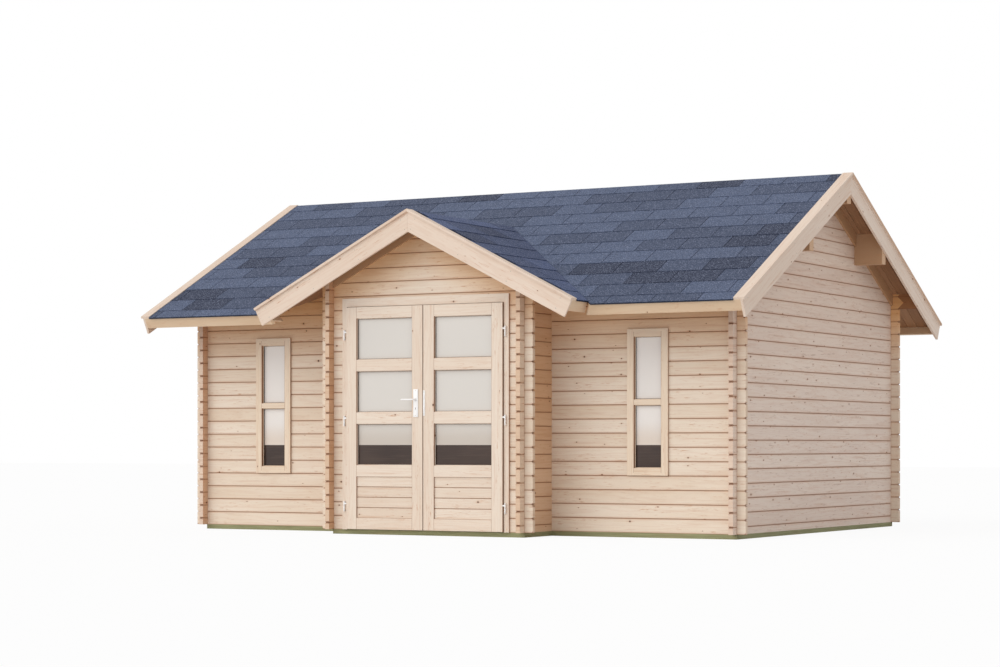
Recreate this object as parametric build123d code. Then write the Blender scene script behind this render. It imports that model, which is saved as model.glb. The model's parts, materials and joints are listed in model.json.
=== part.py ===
from build123d import *
import math
import os

# Log cabin with a front bay. Millimetres, +X to the right along the front, +Y to the back, +Z up.
# The pieces are drawn from the left front corner of the log walls, at the height of their underside,
# and moved at the end so that the origin is the middle of the footprint at the underside of the bearers.

# Log walls
log_height = 118
log_thick = 40
log_overhang = 78
groove_depth = 5
groove_half_height = 5
end_notch_depth = 15
end_notch_half_height = 9
body_length = 5306
body_depth = 3670
wall_courses = 18
bay_width = 1916
bay_projection = 485
bay_wall_height = 2170

# Base
bearer_height = 40
bearer_thick = 60
bearer_inset = 30
joist_count = 5
floor_thick = 19

# Roof
roof_pitch = 27
gable_overhang = 265
eave_length = 600
bay_eave_length = 648
roof_board_thick = 20
shingle_thick = 8
shingle_drip = 15
bargeboard_thick = 20
bargeboard_height = 150
cap_thick = 20
cap_width = 95
cap_lip = 18
fascia_thick = 20
fascia_height = 95
rake_trim_thick = 20
rake_trim_height = 95
mitre_gap = 0.6

# Purlins
purlin_thick = 90
purlin_setback = 914
purlin_bottom_course = 20
ridge_bottom_course = 24
bay_ridge_bottom_course = 21

# Doorway and door leaves
leaf_width = 765
leaf_height = 1905
leaf_thick = 40
leaf_floor_gap = 5
leaf_step = 18
stile_width = 104
rail_height = 97
field_count = 4
door_gap = 5
meeting_gap = 8
jamb_thick = 26
casing_width = 20
casing_thick = 18
head_height = 51
stop_width = 14
threshold_height = 24
panel_thick = 18
panel_boards = 4
glass_thick = 4
glass_set_back = 27

# Windows
window_width = 329
window_height = 1170
window_bottom = 496
window_from_corner_left = 775
window_from_corner_right = 794
window_casing = 22
window_frame_face = 40
window_depth_inside = 12
muntin_height = 45

# Door furniture
hinge_length = 88
hinge_radius = 6
hinge_play = 0.2
hinge_from_leaf = 24
hinge_behind_face = 4
hinge_lug_height = 13
hinge_bolt_thick = 6
hinge_bolt_height = 62
hinge_heights = (155, 890, 1628)
lever_height = 1112
lever_from_edge = 64
handle_plate_width = 46
handle_plate_height = 236
handle_plate_thick = 8
handle_plate_centre = 1082
spindle_radius = 8
spindle_play = 0.3
lever_length = 125
lever_bar = 14
lever_stand_off = 46
keep_plate_width = 18
keep_plate_height = 214
keep_plate_thick = 4

# Worked out
wall_top = wall_courses * log_height
plate_bottom = wall_top - log_height
bay_left = (body_length - bay_width) / 2
bay_right = bay_left + bay_width
bay_front = -bay_projection
centre_x = body_length / 2
half_depth = body_depth / 2
half_bay = bay_width / 2
rise = math.tan(math.radians(roof_pitch))
sine = math.sin(math.radians(roof_pitch))
cosine = math.cos(math.radians(roof_pitch))
valley_apex_y = half_bay + (bay_wall_height - wall_top) / rise
frame_face_y = bay_front - casing_thick
leaf_face_y = frame_face_y - leaf_step
door_opening_left = centre_x - leaf_width - meeting_gap / 2 - door_gap - jamb_thick
door_opening_right = 2 * centre_x - door_opening_left
door_opening_top = leaf_floor_gap + leaf_height + door_gap + head_height
lintel_course = math.floor(door_opening_top / log_height)
cap_edge = gable_overhang + bargeboard_thick + cap_lip
verge_end = gable_overhang + bargeboard_thick
field_height = (leaf_height - (field_count + 1) * rail_height) / field_count
field_width = leaf_width - 2 * stile_width


def block(x0, x1, y0, y1, z0, z1):
    return Pos(x0, y0, z0) * Box(x1 - x0, y1 - y0, z1 - z0, align=(Align.MIN, Align.MIN, Align.MIN))


def along_x(points, x0, x1):
    """A solid with the section points (y, z), from x0 to x1."""
    plane = Plane(origin=(x0, 0, 0), x_dir=(0, 1, 0), z_dir=(1, 0, 0))
    return extrude(plane * Polygon(*points, align=None), x1 - x0, dir=(1, 0, 0))


def along_y(points, y0, y1):
    """A solid with the section points (x, z), from y0 to y1."""
    plane = Plane(origin=(0, y0, 0), x_dir=(1, 0, 0), z_dir=(0, -1, 0))
    return extrude(plane * Polygon(*points, align=None), y1 - y0, dir=(0, 1, 0))


def joints_between(z0, z1, phase):
    """Heights of the log joints from z0 to z1. Phase 0 starts on a full log and 0.5 on a half log."""
    first = math.ceil((z0 + 0.5) / log_height - phase)
    last = math.floor((z1 - 0.5) / log_height - phase)
    return [(course + phase) * log_height for course in range(first, last + 1)]


def log_section(z0, z1, z1_inner, heights=(), grooved_bottom=False, grooved_top=False):
    """Section across a wall, as (thickness, height), with a V groove in its outer face at each height."""
    depth = groove_depth
    half = groove_half_height
    outer = [(depth, z0), (0, z0 + half)] if grooved_bottom else [(0, z0)]
    for joint in heights:
        outer += [(0, joint - half), (depth, joint), (0, joint + half)]
    outer += [(0, z1 - half), (depth, z1)] if grooved_top else [(0, z1)]
    return outer + [(log_thick, z1_inner), (log_thick, z0)]


def log_end(u, inward, z0, z1, phase):
    """Points up a wall's end, with a notch between the ends of each two logs. Inward is 1 or -1."""
    points = [(u, z0)]
    for joint in joints_between(z0 + end_notch_half_height, z1 - end_notch_half_height, phase):
        points += [
            (u, joint - end_notch_half_height),
            (u + inward * end_notch_depth, joint),
            (u, joint + end_notch_half_height),
        ]
    return points + [(u, z1)]


def log_wall(u0, u1, z0, top, phase, crossings=(), holes=(), section_top=None,
             grooved_bottom=False, grooved_top=False, ends=("notched", "notched")):
    """A wall of logs along X with its outer face on y = 0.

    Top is the list of (u, z) points of its upper edge, from left to right. Crossings are the places
    where a wall of the other direction passes through, log by log: each keeps the middle half of
    every log of this wall. Holes are (u0, u1, z0, z1). An end past a crossing is notched outside the
    cabin and plain inside it, and a flush one has no crossing.
    """
    left = log_end(u0, 1, z0, top[0][1], phase) if ends[0] == "notched" else [(u0, z0), (u0, top[0][1])]
    right = log_end(u1, -1, z0, top[-1][1], phase) if ends[1] == "notched" else [(u1, z0), (u1, top[-1][1])]
    outline = Polygon(*(left + list(top[1:-1]) + right[::-1]), align=None)
    highest = max(z for u, z in top)
    cuts = [Pos((a + b) / 2, (c + d) / 2) * Rectangle(b - a, d - c) for a, b, c, d in holes]
    for u in crossings:
        course = math.floor(z0 / log_height) - 1
        while (course + phase) * log_height < highest + log_height:
            joint = (course + phase) * log_height
            cuts.append(Pos(u + log_thick / 2, joint) * Rectangle(log_thick, log_height / 2))
            course += 1
    slab = extrude(Plane.XZ * (outline - cuts), log_thick, dir=(0, 1, 0))
    z1, z1_inner = section_top or (highest, highest)
    groove_u0 = u0 if ends[0] == "flush" else min(crossings) + log_thick
    groove_u1 = u1 if ends[1] == "flush" else max(crossings)
    plain = log_section(z0, z1, z1_inner)
    grooved = log_section(z0, z1, z1_inner, joints_between(z0, z1, phase), grooved_bottom, grooved_top)
    envelope = along_x(grooved, groove_u0, groove_u1)
    if groove_u0 > u0:
        envelope += along_x(plain, u0, groove_u0)
    if groove_u1 < u1:
        envelope += along_x(plain, groove_u1, u1)
    return slab & envelope


def front_facing(wall, y):
    return Pos(0, y, 0) * wall


def back_facing(wall, y):
    """Turns a wall built with its outer face on y = 0 so that its outer face looks to the back."""
    return Pos(0, y, 0) * mirror(wall, Plane.XZ)


def right_facing(wall, x):
    """Lays a wall along Y with the face that was its outer one at x, looking to the right."""
    return Pos(x, 0, 0) * Rot(0, 0, 90) * wall


def left_facing(wall, x):
    return Pos(x, 0, 0) * mirror(Rot(0, 0, 90) * wall, Plane.YZ)


def flat_top(u0, u1, z):
    return [(u0, z), (u1, z)]


def roof_point(height, station, lift):
    """(run, z) at a distance down the slope from the wall's outer face and above the boards' underside."""
    return (-station * cosine - lift * sine, height - station * sine + lift * cosine)


def roof_layer(height, half_span, low, high, station, gap=0):
    """Section of a layer of the roof between two lifts, square cut at its eave and plumb at its ridge."""
    ridge_z = height + (half_span - gap) * rise
    return [
        roof_point(height, station, low),
        roof_point(height, station, high),
        (half_span - gap, ridge_z + high / cosine),
        (half_span - gap, ridge_z + low / cosine),
    ]


def roof_strip(height, low, high, station, station_high):
    """Section of a strip across the slope, square cut at both ends."""
    return [
        roof_point(height, station, low),
        roof_point(height, station, high),
        roof_point(height, station_high, high),
        roof_point(height, station_high, low),
    ]


def on_main_front(section, x0, x1):
    return along_x(section, x0, x1)


def on_main_back(section, x0, x1):
    return along_x([(body_depth - run, z) for run, z in section], x0, x1)


def on_bay_left(section, y0, y1):
    return along_y([(bay_left + run, z) for run, z in section], y0, y1)


def on_bay_right(section, y0, y1):
    return along_y([(bay_right - run, z) for run, z in section], y0, y1)


def valley_prism():
    """The space over the bay's side of the valleys, up to where both roofs' planes meet."""
    reach = body_length / 2
    points = ((centre_x, valley_apex_y), (centre_x - reach, valley_apex_y - reach),
              (centre_x + reach, valley_apex_y - reach))
    return extrude(Plane.XY * Polygon(*points, align=None), 2 * wall_top, dir=(0, 0, 1))


def bearer(x0, x1, y0, y1):
    """A beam on the ground, clear of the ones that it meets by half a joint's gap at each end."""
    gap = mitre_gap / 2
    if x1 - x0 > y1 - y0:
        return block(x0 + gap, x1 - gap, y0, y1, -bearer_height, 0)
    return block(x0, x1, y0 + gap, y1 - gap, -bearer_height, 0)


def make_bearers():
    """Bearers under the outer walls and round the bay, with the floor's joists between them."""
    thick = bearer_thick
    left = bearer_inset
    back = body_depth - thick
    pieces = [bearer(left, body_length, 0, thick), bearer(left, body_length, back, body_depth)]
    for x0 in (left, body_length - thick):
        pieces.append(bearer(x0, x0 + thick, thick, back))
    for number in range(1, joist_count + 1):
        x = left + (body_length - left) * number / (joist_count + 1)
        pieces.append(bearer(x - thick / 2, x + thick / 2, thick, back))
    bay_x0 = bay_left + bearer_inset
    pieces.append(bearer(bay_x0, bay_right, bay_front, bay_front + thick))
    for x0 in (bay_x0, bay_right - thick):
        pieces.append(bearer(x0, x0 + thick, bay_front + thick, 0))
    return Compound(children=pieces)


def make_floor():
    """Floor boards inside the log walls and in the bay, cut round the log ends that stand inside."""
    stub = log_thick + log_overhang
    floor = block(log_thick, body_length - log_thick, log_thick, body_depth - log_thick, 0, floor_thick)
    floor += block(bay_left + log_thick, bay_right - log_thick, bay_front + log_thick, log_thick, 0,
                   floor_thick)
    for side in (bay_left, bay_right - log_thick):
        floor -= block(side, side + log_thick, log_thick, stub, 0, floor_thick)
    floor -= block(door_opening_left - casing_width, door_opening_right + casing_width, bay_front,
                   bay_front + log_thick + casing_thick, 0, floor_thick)
    floor -= block(bay_left + log_thick, bay_left + stub, 0, log_thick, 0, floor_thick)
    floor -= block(bay_right - stub, bay_right - log_thick, 0, log_thick, 0, floor_thick)
    return floor


def main_eave_wall(u0, u1, crossings, holes, ends):
    """A wall under an eave, up to the plate log."""
    return log_wall(u0, u1, 0, flat_top(u0, u1, plate_bottom), 0, crossings, holes, grooved_top=True,
                    ends=ends)


def plate_log(crossings):
    """The top log of an eave wall, bevelled to the roof and run out to the bargeboards."""
    u0 = -gable_overhang
    u1 = body_length + gable_overhang
    inner_top = wall_top + log_thick * rise
    return log_wall(u0, u1, plate_bottom, flat_top(u0, u1, inner_top), 0, crossings,
                    section_top=(wall_top, inner_top), grooved_bottom=True, ends=("flush", "flush"))


def window_hole(middle):
    return (middle - window_width / 2, middle + window_width / 2, window_bottom,
            window_bottom + window_height)


def left_window_middle():
    return window_from_corner_left


def right_window_middle():
    return body_length - window_from_corner_right


def make_front_wall_left():
    u1 = bay_left + log_thick + log_overhang
    wall = main_eave_wall(-log_overhang, u1, (0, bay_left), (window_hole(left_window_middle()),),
                          ("notched", "plain"))
    return front_facing(wall, 0)


def make_front_wall_right():
    u0 = bay_right - log_thick - log_overhang
    wall = main_eave_wall(u0, body_length + log_overhang, (bay_right - log_thick, body_length - log_thick),
                          (window_hole(right_window_middle()),), ("plain", "notched"))
    return front_facing(wall, 0)


def make_back_wall():
    wall = main_eave_wall(-log_overhang, body_length + log_overhang, (0, body_length - log_thick), (),
                          ("notched", "notched"))
    return back_facing(wall, body_depth)


def gable_wall():
    """A gable wall up to the roof boards, with pockets for the purlins that pass through it."""
    u0 = -log_overhang
    u1 = body_depth + log_overhang
    top = [(u0, wall_top + u0 * rise), (half_depth, wall_top + half_depth * rise), (u1, wall_top + u0 * rise)]
    wall = log_wall(u0, u1, 0, top, 0.5, (0, body_depth - log_thick))
    purlins = make_front_purlin() + make_back_purlin() + make_ridge_purlin()
    return wall, purlins


def make_left_gable_wall():
    wall, purlins = gable_wall()
    return left_facing(wall, 0) - purlins


def make_right_gable_wall():
    wall, purlins = gable_wall()
    return right_facing(wall, body_length) - purlins


def bay_side_wall():
    """A side wall of the bay, its top bevelled to the bay roof, with its inner ends in the main room."""
    u0 = bay_front - log_overhang
    u1 = log_thick + log_overhang
    inner_top = bay_wall_height + log_thick * rise
    return log_wall(u0, u1, 0, flat_top(u0, u1, inner_top), 0.5, (bay_front, 0),
                    section_top=(bay_wall_height, inner_top), ends=("notched", "plain"))


def make_bay_left_wall():
    return left_facing(bay_side_wall(), bay_left)


def make_bay_right_wall():
    return right_facing(bay_side_wall(), bay_right)


def make_bay_front_left():
    """The short logs between the bay's left corner and the doorway."""
    u0 = bay_left - log_overhang
    top = flat_top(u0, door_opening_left, lintel_course * log_height)
    wall = log_wall(u0, door_opening_left, 0, top, 0, (bay_left,), grooved_top=True,
                    ends=("notched", "flush"))
    return front_facing(wall, bay_front)


def make_bay_front_right():
    u1 = bay_right + log_overhang
    top = flat_top(door_opening_right, u1, lintel_course * log_height)
    wall = log_wall(door_opening_right, u1, 0, top, 0, (bay_right - log_thick,), grooved_top=True,
                    ends=("flush", "notched"))
    return front_facing(wall, bay_front)


def make_bay_gable():
    """The logs over the doorway, up to the bay's roof boards."""
    u0 = bay_left - log_overhang
    u1 = bay_right + log_overhang
    low = bay_wall_height - log_overhang * rise
    top = [(u0, low), (centre_x, bay_wall_height + half_bay * rise), (u1, low)]
    bottom = lintel_course * log_height
    doorway = (door_opening_left, door_opening_right, bottom, door_opening_top)
    wall = log_wall(u0, u1, bottom, top, 0, (bay_left, bay_right - log_thick), (doorway,),
                    grooved_bottom=True)
    return front_facing(wall, bay_front) - make_bay_ridge_purlin()


def make_front_plate():
    """It runs across the mouth of the bay."""
    crossings = (0, bay_left, bay_right - log_thick, body_length - log_thick)
    return front_facing(plate_log(crossings), 0)


def make_back_plate():
    return back_facing(plate_log((0, body_length - log_thick)), body_depth)


def purlin_section():
    """Section of a purlin halfway up the slope, its top bevelled to the roof boards."""
    y0 = purlin_setback
    y1 = y0 + purlin_thick
    z0 = purlin_bottom_course * log_height
    return [(y0, z0), (y0, wall_top + y0 * rise), (y1, wall_top + y1 * rise), (y1, z0)]


def make_front_purlin():
    return on_main_front(purlin_section(), -gable_overhang, body_length + gable_overhang)


def make_back_purlin():
    return on_main_back(purlin_section(), -gable_overhang, body_length + gable_overhang)


def make_ridge_purlin():
    half = purlin_thick / 2
    z0 = ridge_bottom_course * log_height
    z1 = wall_top + (half_depth - half) * rise
    points = [(half_depth - half, z0), (half_depth - half, z1), (half_depth, z1 + half * rise),
              (half_depth + half, z1), (half_depth + half, z0)]
    return along_x(points, -gable_overhang, body_length + gable_overhang)


def make_bay_ridge_purlin():
    """From its pocket in the bay's gable to the front purlin."""
    half = purlin_thick / 2
    z0 = bay_ridge_bottom_course * log_height
    z1 = bay_wall_height + (half_bay - half) * rise
    points = [(centre_x - half, z0), (centre_x - half, z1), (centre_x, z1 + half * rise),
              (centre_x + half, z1), (centre_x + half, z0)]
    return along_y(points, bay_front + log_thick / 2, purlin_setback)


def main_boards():
    return roof_layer(wall_top, half_depth, 0, roof_board_thick, eave_length - fascia_thick)


def main_cover():
    return roof_layer(wall_top, half_depth, roof_board_thick, roof_board_thick + shingle_thick,
                      eave_length + shingle_drip)


def bay_boards():
    return roof_layer(bay_wall_height, half_bay, 0, roof_board_thick, bay_eave_length - fascia_thick)


def bay_cover():
    return roof_layer(bay_wall_height, half_bay, roof_board_thick, roof_board_thick + shingle_thick,
                      bay_eave_length + shingle_drip)


def make_front_roof_boards():
    return on_main_front(main_boards(), -gable_overhang, body_length + gable_overhang) - valley_prism()


def make_back_roof_boards():
    return on_main_back(main_boards(), -gable_overhang, body_length + gable_overhang)


def make_bay_left_roof_boards():
    return on_bay_left(bay_boards(), bay_front - gable_overhang, valley_apex_y) & valley_prism()


def make_bay_right_roof_boards():
    return on_bay_right(bay_boards(), bay_front - gable_overhang, valley_apex_y) & valley_prism()


def cover_x():
    """The shingles run between the verge caps."""
    return cap_width - cap_edge, body_length + cap_edge - cap_width


def make_front_shingles():
    return on_main_front(main_cover(), *cover_x()) - valley_prism()


def make_back_shingles():
    return on_main_back(main_cover(), *cover_x())


def make_bay_left_shingles():
    return on_bay_left(bay_cover(), bay_front - cap_edge + cap_width, valley_apex_y) & valley_prism()


def make_bay_right_shingles():
    return on_bay_right(bay_cover(), bay_front - cap_edge + cap_width, valley_apex_y) & valley_prism()


def main_verges(section, near, far):
    """The same strip on both slopes at both gables, between two distances outside the gable walls."""
    pieces = on_main_front(section, -far, -near)
    pieces += on_main_front(section, body_length + near, body_length + far)
    pieces += on_main_back(section, -far, -near)
    pieces += on_main_back(section, body_length + near, body_length + far)
    return pieces


def bay_verges(section, near, far):
    pieces = on_bay_left(section, bay_front - far, bay_front - near)
    pieces += on_bay_right(section, bay_front - far, bay_front - near)
    return pieces


def board_section(height, half_span, station):
    return roof_layer(height, half_span, roof_board_thick - bargeboard_height, roof_board_thick, station,
                      mitre_gap / 2)


def cap_section(height, half_span, station):
    return roof_layer(height, half_span, roof_board_thick, roof_board_thick + cap_thick, station,
                      mitre_gap / 2)


def make_main_bargeboards():
    return main_verges(board_section(wall_top, half_depth, eave_length), gable_overhang, verge_end)


def make_bay_bargeboards():
    return bay_verges(board_section(bay_wall_height, half_bay, bay_eave_length), gable_overhang, verge_end)


def make_main_verge_caps():
    return main_verges(cap_section(wall_top, half_depth, eave_length), cap_edge - cap_width, cap_edge)


def make_bay_verge_caps():
    return bay_verges(cap_section(bay_wall_height, half_bay, bay_eave_length), cap_edge - cap_width,
                      cap_edge)


def make_eave_fascias():
    """Boards on the ends of the roof boards: two in front, mitred to the two of the bay, and one behind."""
    low = roof_board_thick - fascia_height
    main = roof_strip(wall_top, low, roof_board_thick, eave_length, eave_length - fascia_thick)
    bay = roof_strip(bay_wall_height, low, roof_board_thick, bay_eave_length,
                     bay_eave_length - fascia_thick)
    prism = valley_prism()
    left = block(-body_length, centre_x, -body_depth, body_depth, 0, 2 * wall_top)
    right = block(centre_x, 2 * body_length, -body_depth, body_depth, 0, 2 * wall_top)
    front = on_main_front(main, -gable_overhang, body_length + gable_overhang) - prism
    behind = on_main_back(main, -gable_overhang, body_length + gable_overhang)
    bay_reach = valley_apex_y
    gap = Pos(0, -mitre_gap, 0)
    bay_left_piece = gap * (on_bay_left(bay, bay_front - gable_overhang + mitre_gap, bay_reach) & prism)
    bay_right_piece = gap * (on_bay_right(bay, bay_front - gable_overhang + mitre_gap, bay_reach) & prism)
    return (front & left) + (front & right) + behind + bay_left_piece + bay_right_piece


def rake_trim_sections():
    """Strips under the roof boards, from the plate log to the purlin and on to the ridge purlin."""
    gap = mitre_gap / 2
    lower = (log_thick + gap, purlin_setback - gap)
    upper = (purlin_setback + purlin_thick + gap, half_depth - purlin_thick / 2 - gap)
    sections = []
    for run0, run1 in (lower, upper):
        drop = rake_trim_height / cosine
        z0 = wall_top + run0 * rise
        z1 = wall_top + run1 * rise
        sections.append([(run0, z0 - drop), (run0, z0), (run1, z1), (run1, z1 - drop)])
    return sections


def make_rake_trims():
    lower, upper = rake_trim_sections()
    return main_verges(lower, 0, rake_trim_thick) + main_verges(upper, 0, rake_trim_thick)


def make_bay_rake_trims():
    drop = rake_trim_height / cosine
    run0 = log_thick
    run1 = half_bay - mitre_gap / 2
    z0 = bay_wall_height + run0 * rise
    z1 = bay_wall_height + run1 * rise
    section = [(run0, z0 - drop), (run0, z0), (run1, z1), (run1, z1 - drop)]
    return bay_verges(section, 0, rake_trim_thick)


def make_door_frame():
    """Jambs, head and threshold round the doorway, casings on both faces and a stop behind the leaves."""
    outer_y = frame_face_y
    inner_y = bay_front + log_thick + casing_thick
    x0 = door_opening_left
    x1 = door_opening_right
    z1 = door_opening_top
    frame = block(x0, x1, outer_y, inner_y, 0, z1)
    for y0, y1 in ((outer_y, bay_front), (bay_front + log_thick, inner_y)):
        frame += block(x0 - casing_width, x1 + casing_width, y0, y1, 0, z1 + casing_width)
    leaf_x0 = x0 + jamb_thick
    leaf_x1 = x1 - jamb_thick
    leaf_top = z1 - head_height
    frame -= block(leaf_x0, leaf_x1, outer_y, leaf_face_y + leaf_thick + door_gap, 0, leaf_top)
    frame -= block(leaf_x0 + stop_width, leaf_x1 - stop_width, outer_y, inner_y, threshold_height,
                   leaf_top - stop_width)
    return frame


def leaf_fields(x0):
    """The openings of a leaf, lowest first, as (x0, x1, z0, z1)."""
    fields = []
    for number in range(field_count):
        z0 = leaf_floor_gap + rail_height + number * (rail_height + field_height)
        fields.append((x0 + stile_width, x0 + stile_width + field_width, z0, z0 + field_height))
    return fields


def left_leaf_x():
    return centre_x - meeting_gap / 2 - leaf_width


def right_leaf_x():
    return centre_x + meeting_gap / 2


def door_leaf(x0):
    leaf = block(x0, x0 + leaf_width, leaf_face_y, leaf_face_y + leaf_thick, leaf_floor_gap,
                 leaf_floor_gap + leaf_height)
    for a, b, c, d in leaf_fields(x0):
        leaf -= block(a, b, leaf_face_y, leaf_face_y + leaf_thick, c, d)
    return leaf


def door_glass(x0):
    y = leaf_face_y + glass_set_back
    panes = [block(a, b, y, y + glass_thick, c, d) for a, b, c, d in leaf_fields(x0)[1:]]
    return Compound(children=panes)


def door_panel(x0):
    """Horizontal boards in the lowest field, with a V groove at each joint."""
    a, b, c, d = leaf_fields(x0)[0]
    y = leaf_face_y + (leaf_thick - panel_thick) / 2
    outer = []
    for number in range(1, panel_boards):
        joint = c + (d - c) * number / panel_boards
        outer += [(y, joint - groove_half_height), (y + groove_depth, joint), (y, joint + groove_half_height)]
    points = [(y, c)] + outer + [(y, d), (y + panel_thick, d), (y + panel_thick, c)]
    return along_x(points, a, b)


def hinge_axis(side):
    """(x, y) of a door's hinge axis. Side is -1 for the left door and 1 for the right one."""
    x = centre_x + side * (meeting_gap / 2 + leaf_width + hinge_from_leaf)
    return x, leaf_face_y + hinge_behind_face


def hinge_knuckle(side, z0, z1):
    x, y = hinge_axis(side)
    return Pos(x, y, z0) * Cylinder(hinge_radius, z1 - z0, align=(Align.CENTER, Align.CENTER, Align.MIN))


def hinge_lug(side, z0, z1):
    """An end of the hinge, cranked back onto the face of the jamb."""
    x, y = hinge_axis(side)
    return hinge_knuckle(side, z0, z1) + block(x - hinge_radius, x + hinge_radius, y, frame_face_y, z0, z1)


def frame_hinge(side, z):
    """The jamb's half: a lug at each end, the lower one with the knuckle that the leaf's half turns on."""
    top = z + hinge_length
    middle = z + hinge_length / 2 - hinge_play
    lower = hinge_lug(side, z, z + hinge_lug_height) + hinge_knuckle(side, z, middle)
    return [lower, hinge_lug(side, top - hinge_lug_height, top)]


def leaf_hinge(side, z):
    """The leaf's half: the upper knuckle and the bolt that holds it to the edge of the leaf."""
    x, y = hinge_axis(side)
    half = hinge_bolt_thick / 2
    z1 = z + hinge_length - hinge_lug_height - hinge_play
    a, b = sorted((x, x - side * hinge_from_leaf))
    bolt = block(a, b, y - half, y + half, z + hinge_bolt_height, z1)
    return hinge_knuckle(side, z + hinge_length / 2, z1) + bolt


def make_frame_hinge_halves():
    halves = []
    for side in (-1, 1):
        for z in hinge_heights:
            halves += frame_hinge(side, z)
    return Compound(children=halves)


def leaf_hinge_halves(side):
    return Compound(children=[leaf_hinge(side, z) for z in hinge_heights])


def spindle_x():
    """On the left leaf's meeting stile."""
    return left_leaf_x() + leaf_width - lever_from_edge


def facing_cylinder(x, z, radius, y0, y1):
    return Pos(x, y1, z) * Rot(90, 0, 0) * Cylinder(radius, y1 - y0,
                                                    align=(Align.CENTER, Align.CENTER, Align.MIN))


def make_handle_plate():
    x = spindle_x()
    y = leaf_face_y
    half = handle_plate_width / 2
    z0 = handle_plate_centre - handle_plate_height / 2
    plate = block(x - half, x + half, y - handle_plate_thick, y, z0, z0 + handle_plate_height)
    return plate - facing_cylinder(x, lever_height, spindle_radius + spindle_play, y - handle_plate_thick, y)


def make_door_lever():
    """A spindle and a straight grip that points away from the meeting edge."""
    x = spindle_x()
    y1 = leaf_face_y - spindle_play
    y0 = leaf_face_y - lever_stand_off
    spindle = facing_cylinder(x, lever_height, spindle_radius, y0, y1)
    half = lever_bar / 2
    grip = block(x - lever_length, x + half, y0 - half, y0 + half, lever_height - half, lever_height + half)
    grip = chamfer(grip.edges().filter_by(Axis.X), half * 0.5)
    return spindle + grip


def make_keep_plate():
    """A narrow plate on the right leaf, along the meeting edge."""
    x = right_leaf_x()
    z0 = handle_plate_centre - keep_plate_height / 2
    return block(x, x + keep_plate_width, leaf_face_y - keep_plate_thick, leaf_face_y, z0,
                 z0 + keep_plate_height)


def window_frame(middle):
    """Casing on both faces of the wall, the frame between them and a bar across the middle."""
    a, b, c, d = window_hole(middle)
    inner_y = log_thick + window_depth_inside
    frame = block(a, b, -casing_thick, inner_y, c, d)
    for y0, y1 in ((-casing_thick, 0), (log_thick, inner_y)):
        frame += block(a - window_casing, b + window_casing, y0, y1, c - window_casing, d + window_casing)
    for pane_c, pane_d in window_panes(middle):
        frame -= block(a + window_frame_face, b - window_frame_face, -casing_thick, inner_y, pane_c, pane_d)
    return frame


def window_panes(middle):
    """(z0, z1) of the two panes of a window."""
    a, b, c, d = window_hole(middle)
    z_middle = (c + d) / 2
    low = (c + window_frame_face, z_middle - muntin_height / 2)
    high = (z_middle + muntin_height / 2, d - window_frame_face)
    return (low, high)


def make_window_frames():
    return Compound(children=[window_frame(left_window_middle()), window_frame(right_window_middle())])


def make_window_glass():
    panes = []
    y = (log_thick - glass_thick) / 2
    for middle in (left_window_middle(), right_window_middle()):
        a, b, c, d = window_hole(middle)
        for z0, z1 in window_panes(middle):
            panes.append(block(a + window_frame_face, b - window_frame_face, y, y + glass_thick, z0, z1))
    return Compound(children=panes)


def footprint_middle_y():
    """Halfway between the bay's verge caps and the drip of the back shingles."""
    drip, z = roof_point(0, eave_length + shingle_drip, roof_board_thick + shingle_thick)
    return (bay_front - cap_edge + body_depth - drip) / 2


parts = {
    "bearers": make_bearers(),
    "floor_boards": make_floor(),
    "front_wall_left": make_front_wall_left(),
    "front_wall_right": make_front_wall_right(),
    "back_wall": make_back_wall(),
    "left_gable_wall": make_left_gable_wall(),
    "right_gable_wall": make_right_gable_wall(),
    "bay_left_wall": make_bay_left_wall(),
    "bay_right_wall": make_bay_right_wall(),
    "bay_front_left": make_bay_front_left(),
    "bay_front_right": make_bay_front_right(),
    "bay_gable": make_bay_gable(),
    "front_plate_log": make_front_plate(),
    "back_plate_log": make_back_plate(),
    "ridge_purlin": make_ridge_purlin(),
    "front_purlin": make_front_purlin(),
    "back_purlin": make_back_purlin(),
    "bay_ridge_purlin": make_bay_ridge_purlin(),
    "front_roof_boards": make_front_roof_boards(),
    "back_roof_boards": make_back_roof_boards(),
    "bay_left_roof_boards": make_bay_left_roof_boards(),
    "bay_right_roof_boards": make_bay_right_roof_boards(),
    "front_shingles": make_front_shingles(),
    "back_shingles": make_back_shingles(),
    "bay_left_shingles": make_bay_left_shingles(),
    "bay_right_shingles": make_bay_right_shingles(),
    "main_bargeboards": make_main_bargeboards(),
    "bay_bargeboards": make_bay_bargeboards(),
    "main_verge_caps": make_main_verge_caps(),
    "bay_verge_caps": make_bay_verge_caps(),
    "eave_fascias": make_eave_fascias(),
    "main_rake_trims": make_rake_trims(),
    "bay_rake_trims": make_bay_rake_trims(),
    "door_frame": make_door_frame(),
    "frame_hinge_halves": make_frame_hinge_halves(),
    "left_door_leaf": door_leaf(left_leaf_x()),
    "left_door_glass": door_glass(left_leaf_x()),
    "left_door_panel": door_panel(left_leaf_x()),
    "left_leaf_hinge_halves": leaf_hinge_halves(-1),
    "handle_plate": make_handle_plate(),
    "door_lever": make_door_lever(),
    "right_door_leaf": door_leaf(right_leaf_x()),
    "right_door_glass": door_glass(right_leaf_x()),
    "right_door_panel": door_panel(right_leaf_x()),
    "right_leaf_hinge_halves": leaf_hinge_halves(1),
    "keep_plate": make_keep_plate(),
    "window_frames": make_window_frames(),
    "window_glass": make_window_glass(),
}

os.makedirs("parts", exist_ok=True)
to_frame = Pos(-centre_x, -footprint_middle_y(), bearer_height)
for node, piece in parts.items():
    export_step(to_frame * piece, f"parts/{node}.step")
x, y = hinge_axis(-1)
print("left hinge axis", x - centre_x, y - footprint_middle_y())
print("lever axis", spindle_x() - centre_x, leaf_face_y - footprint_middle_y(), lever_height + bearer_height)
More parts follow.
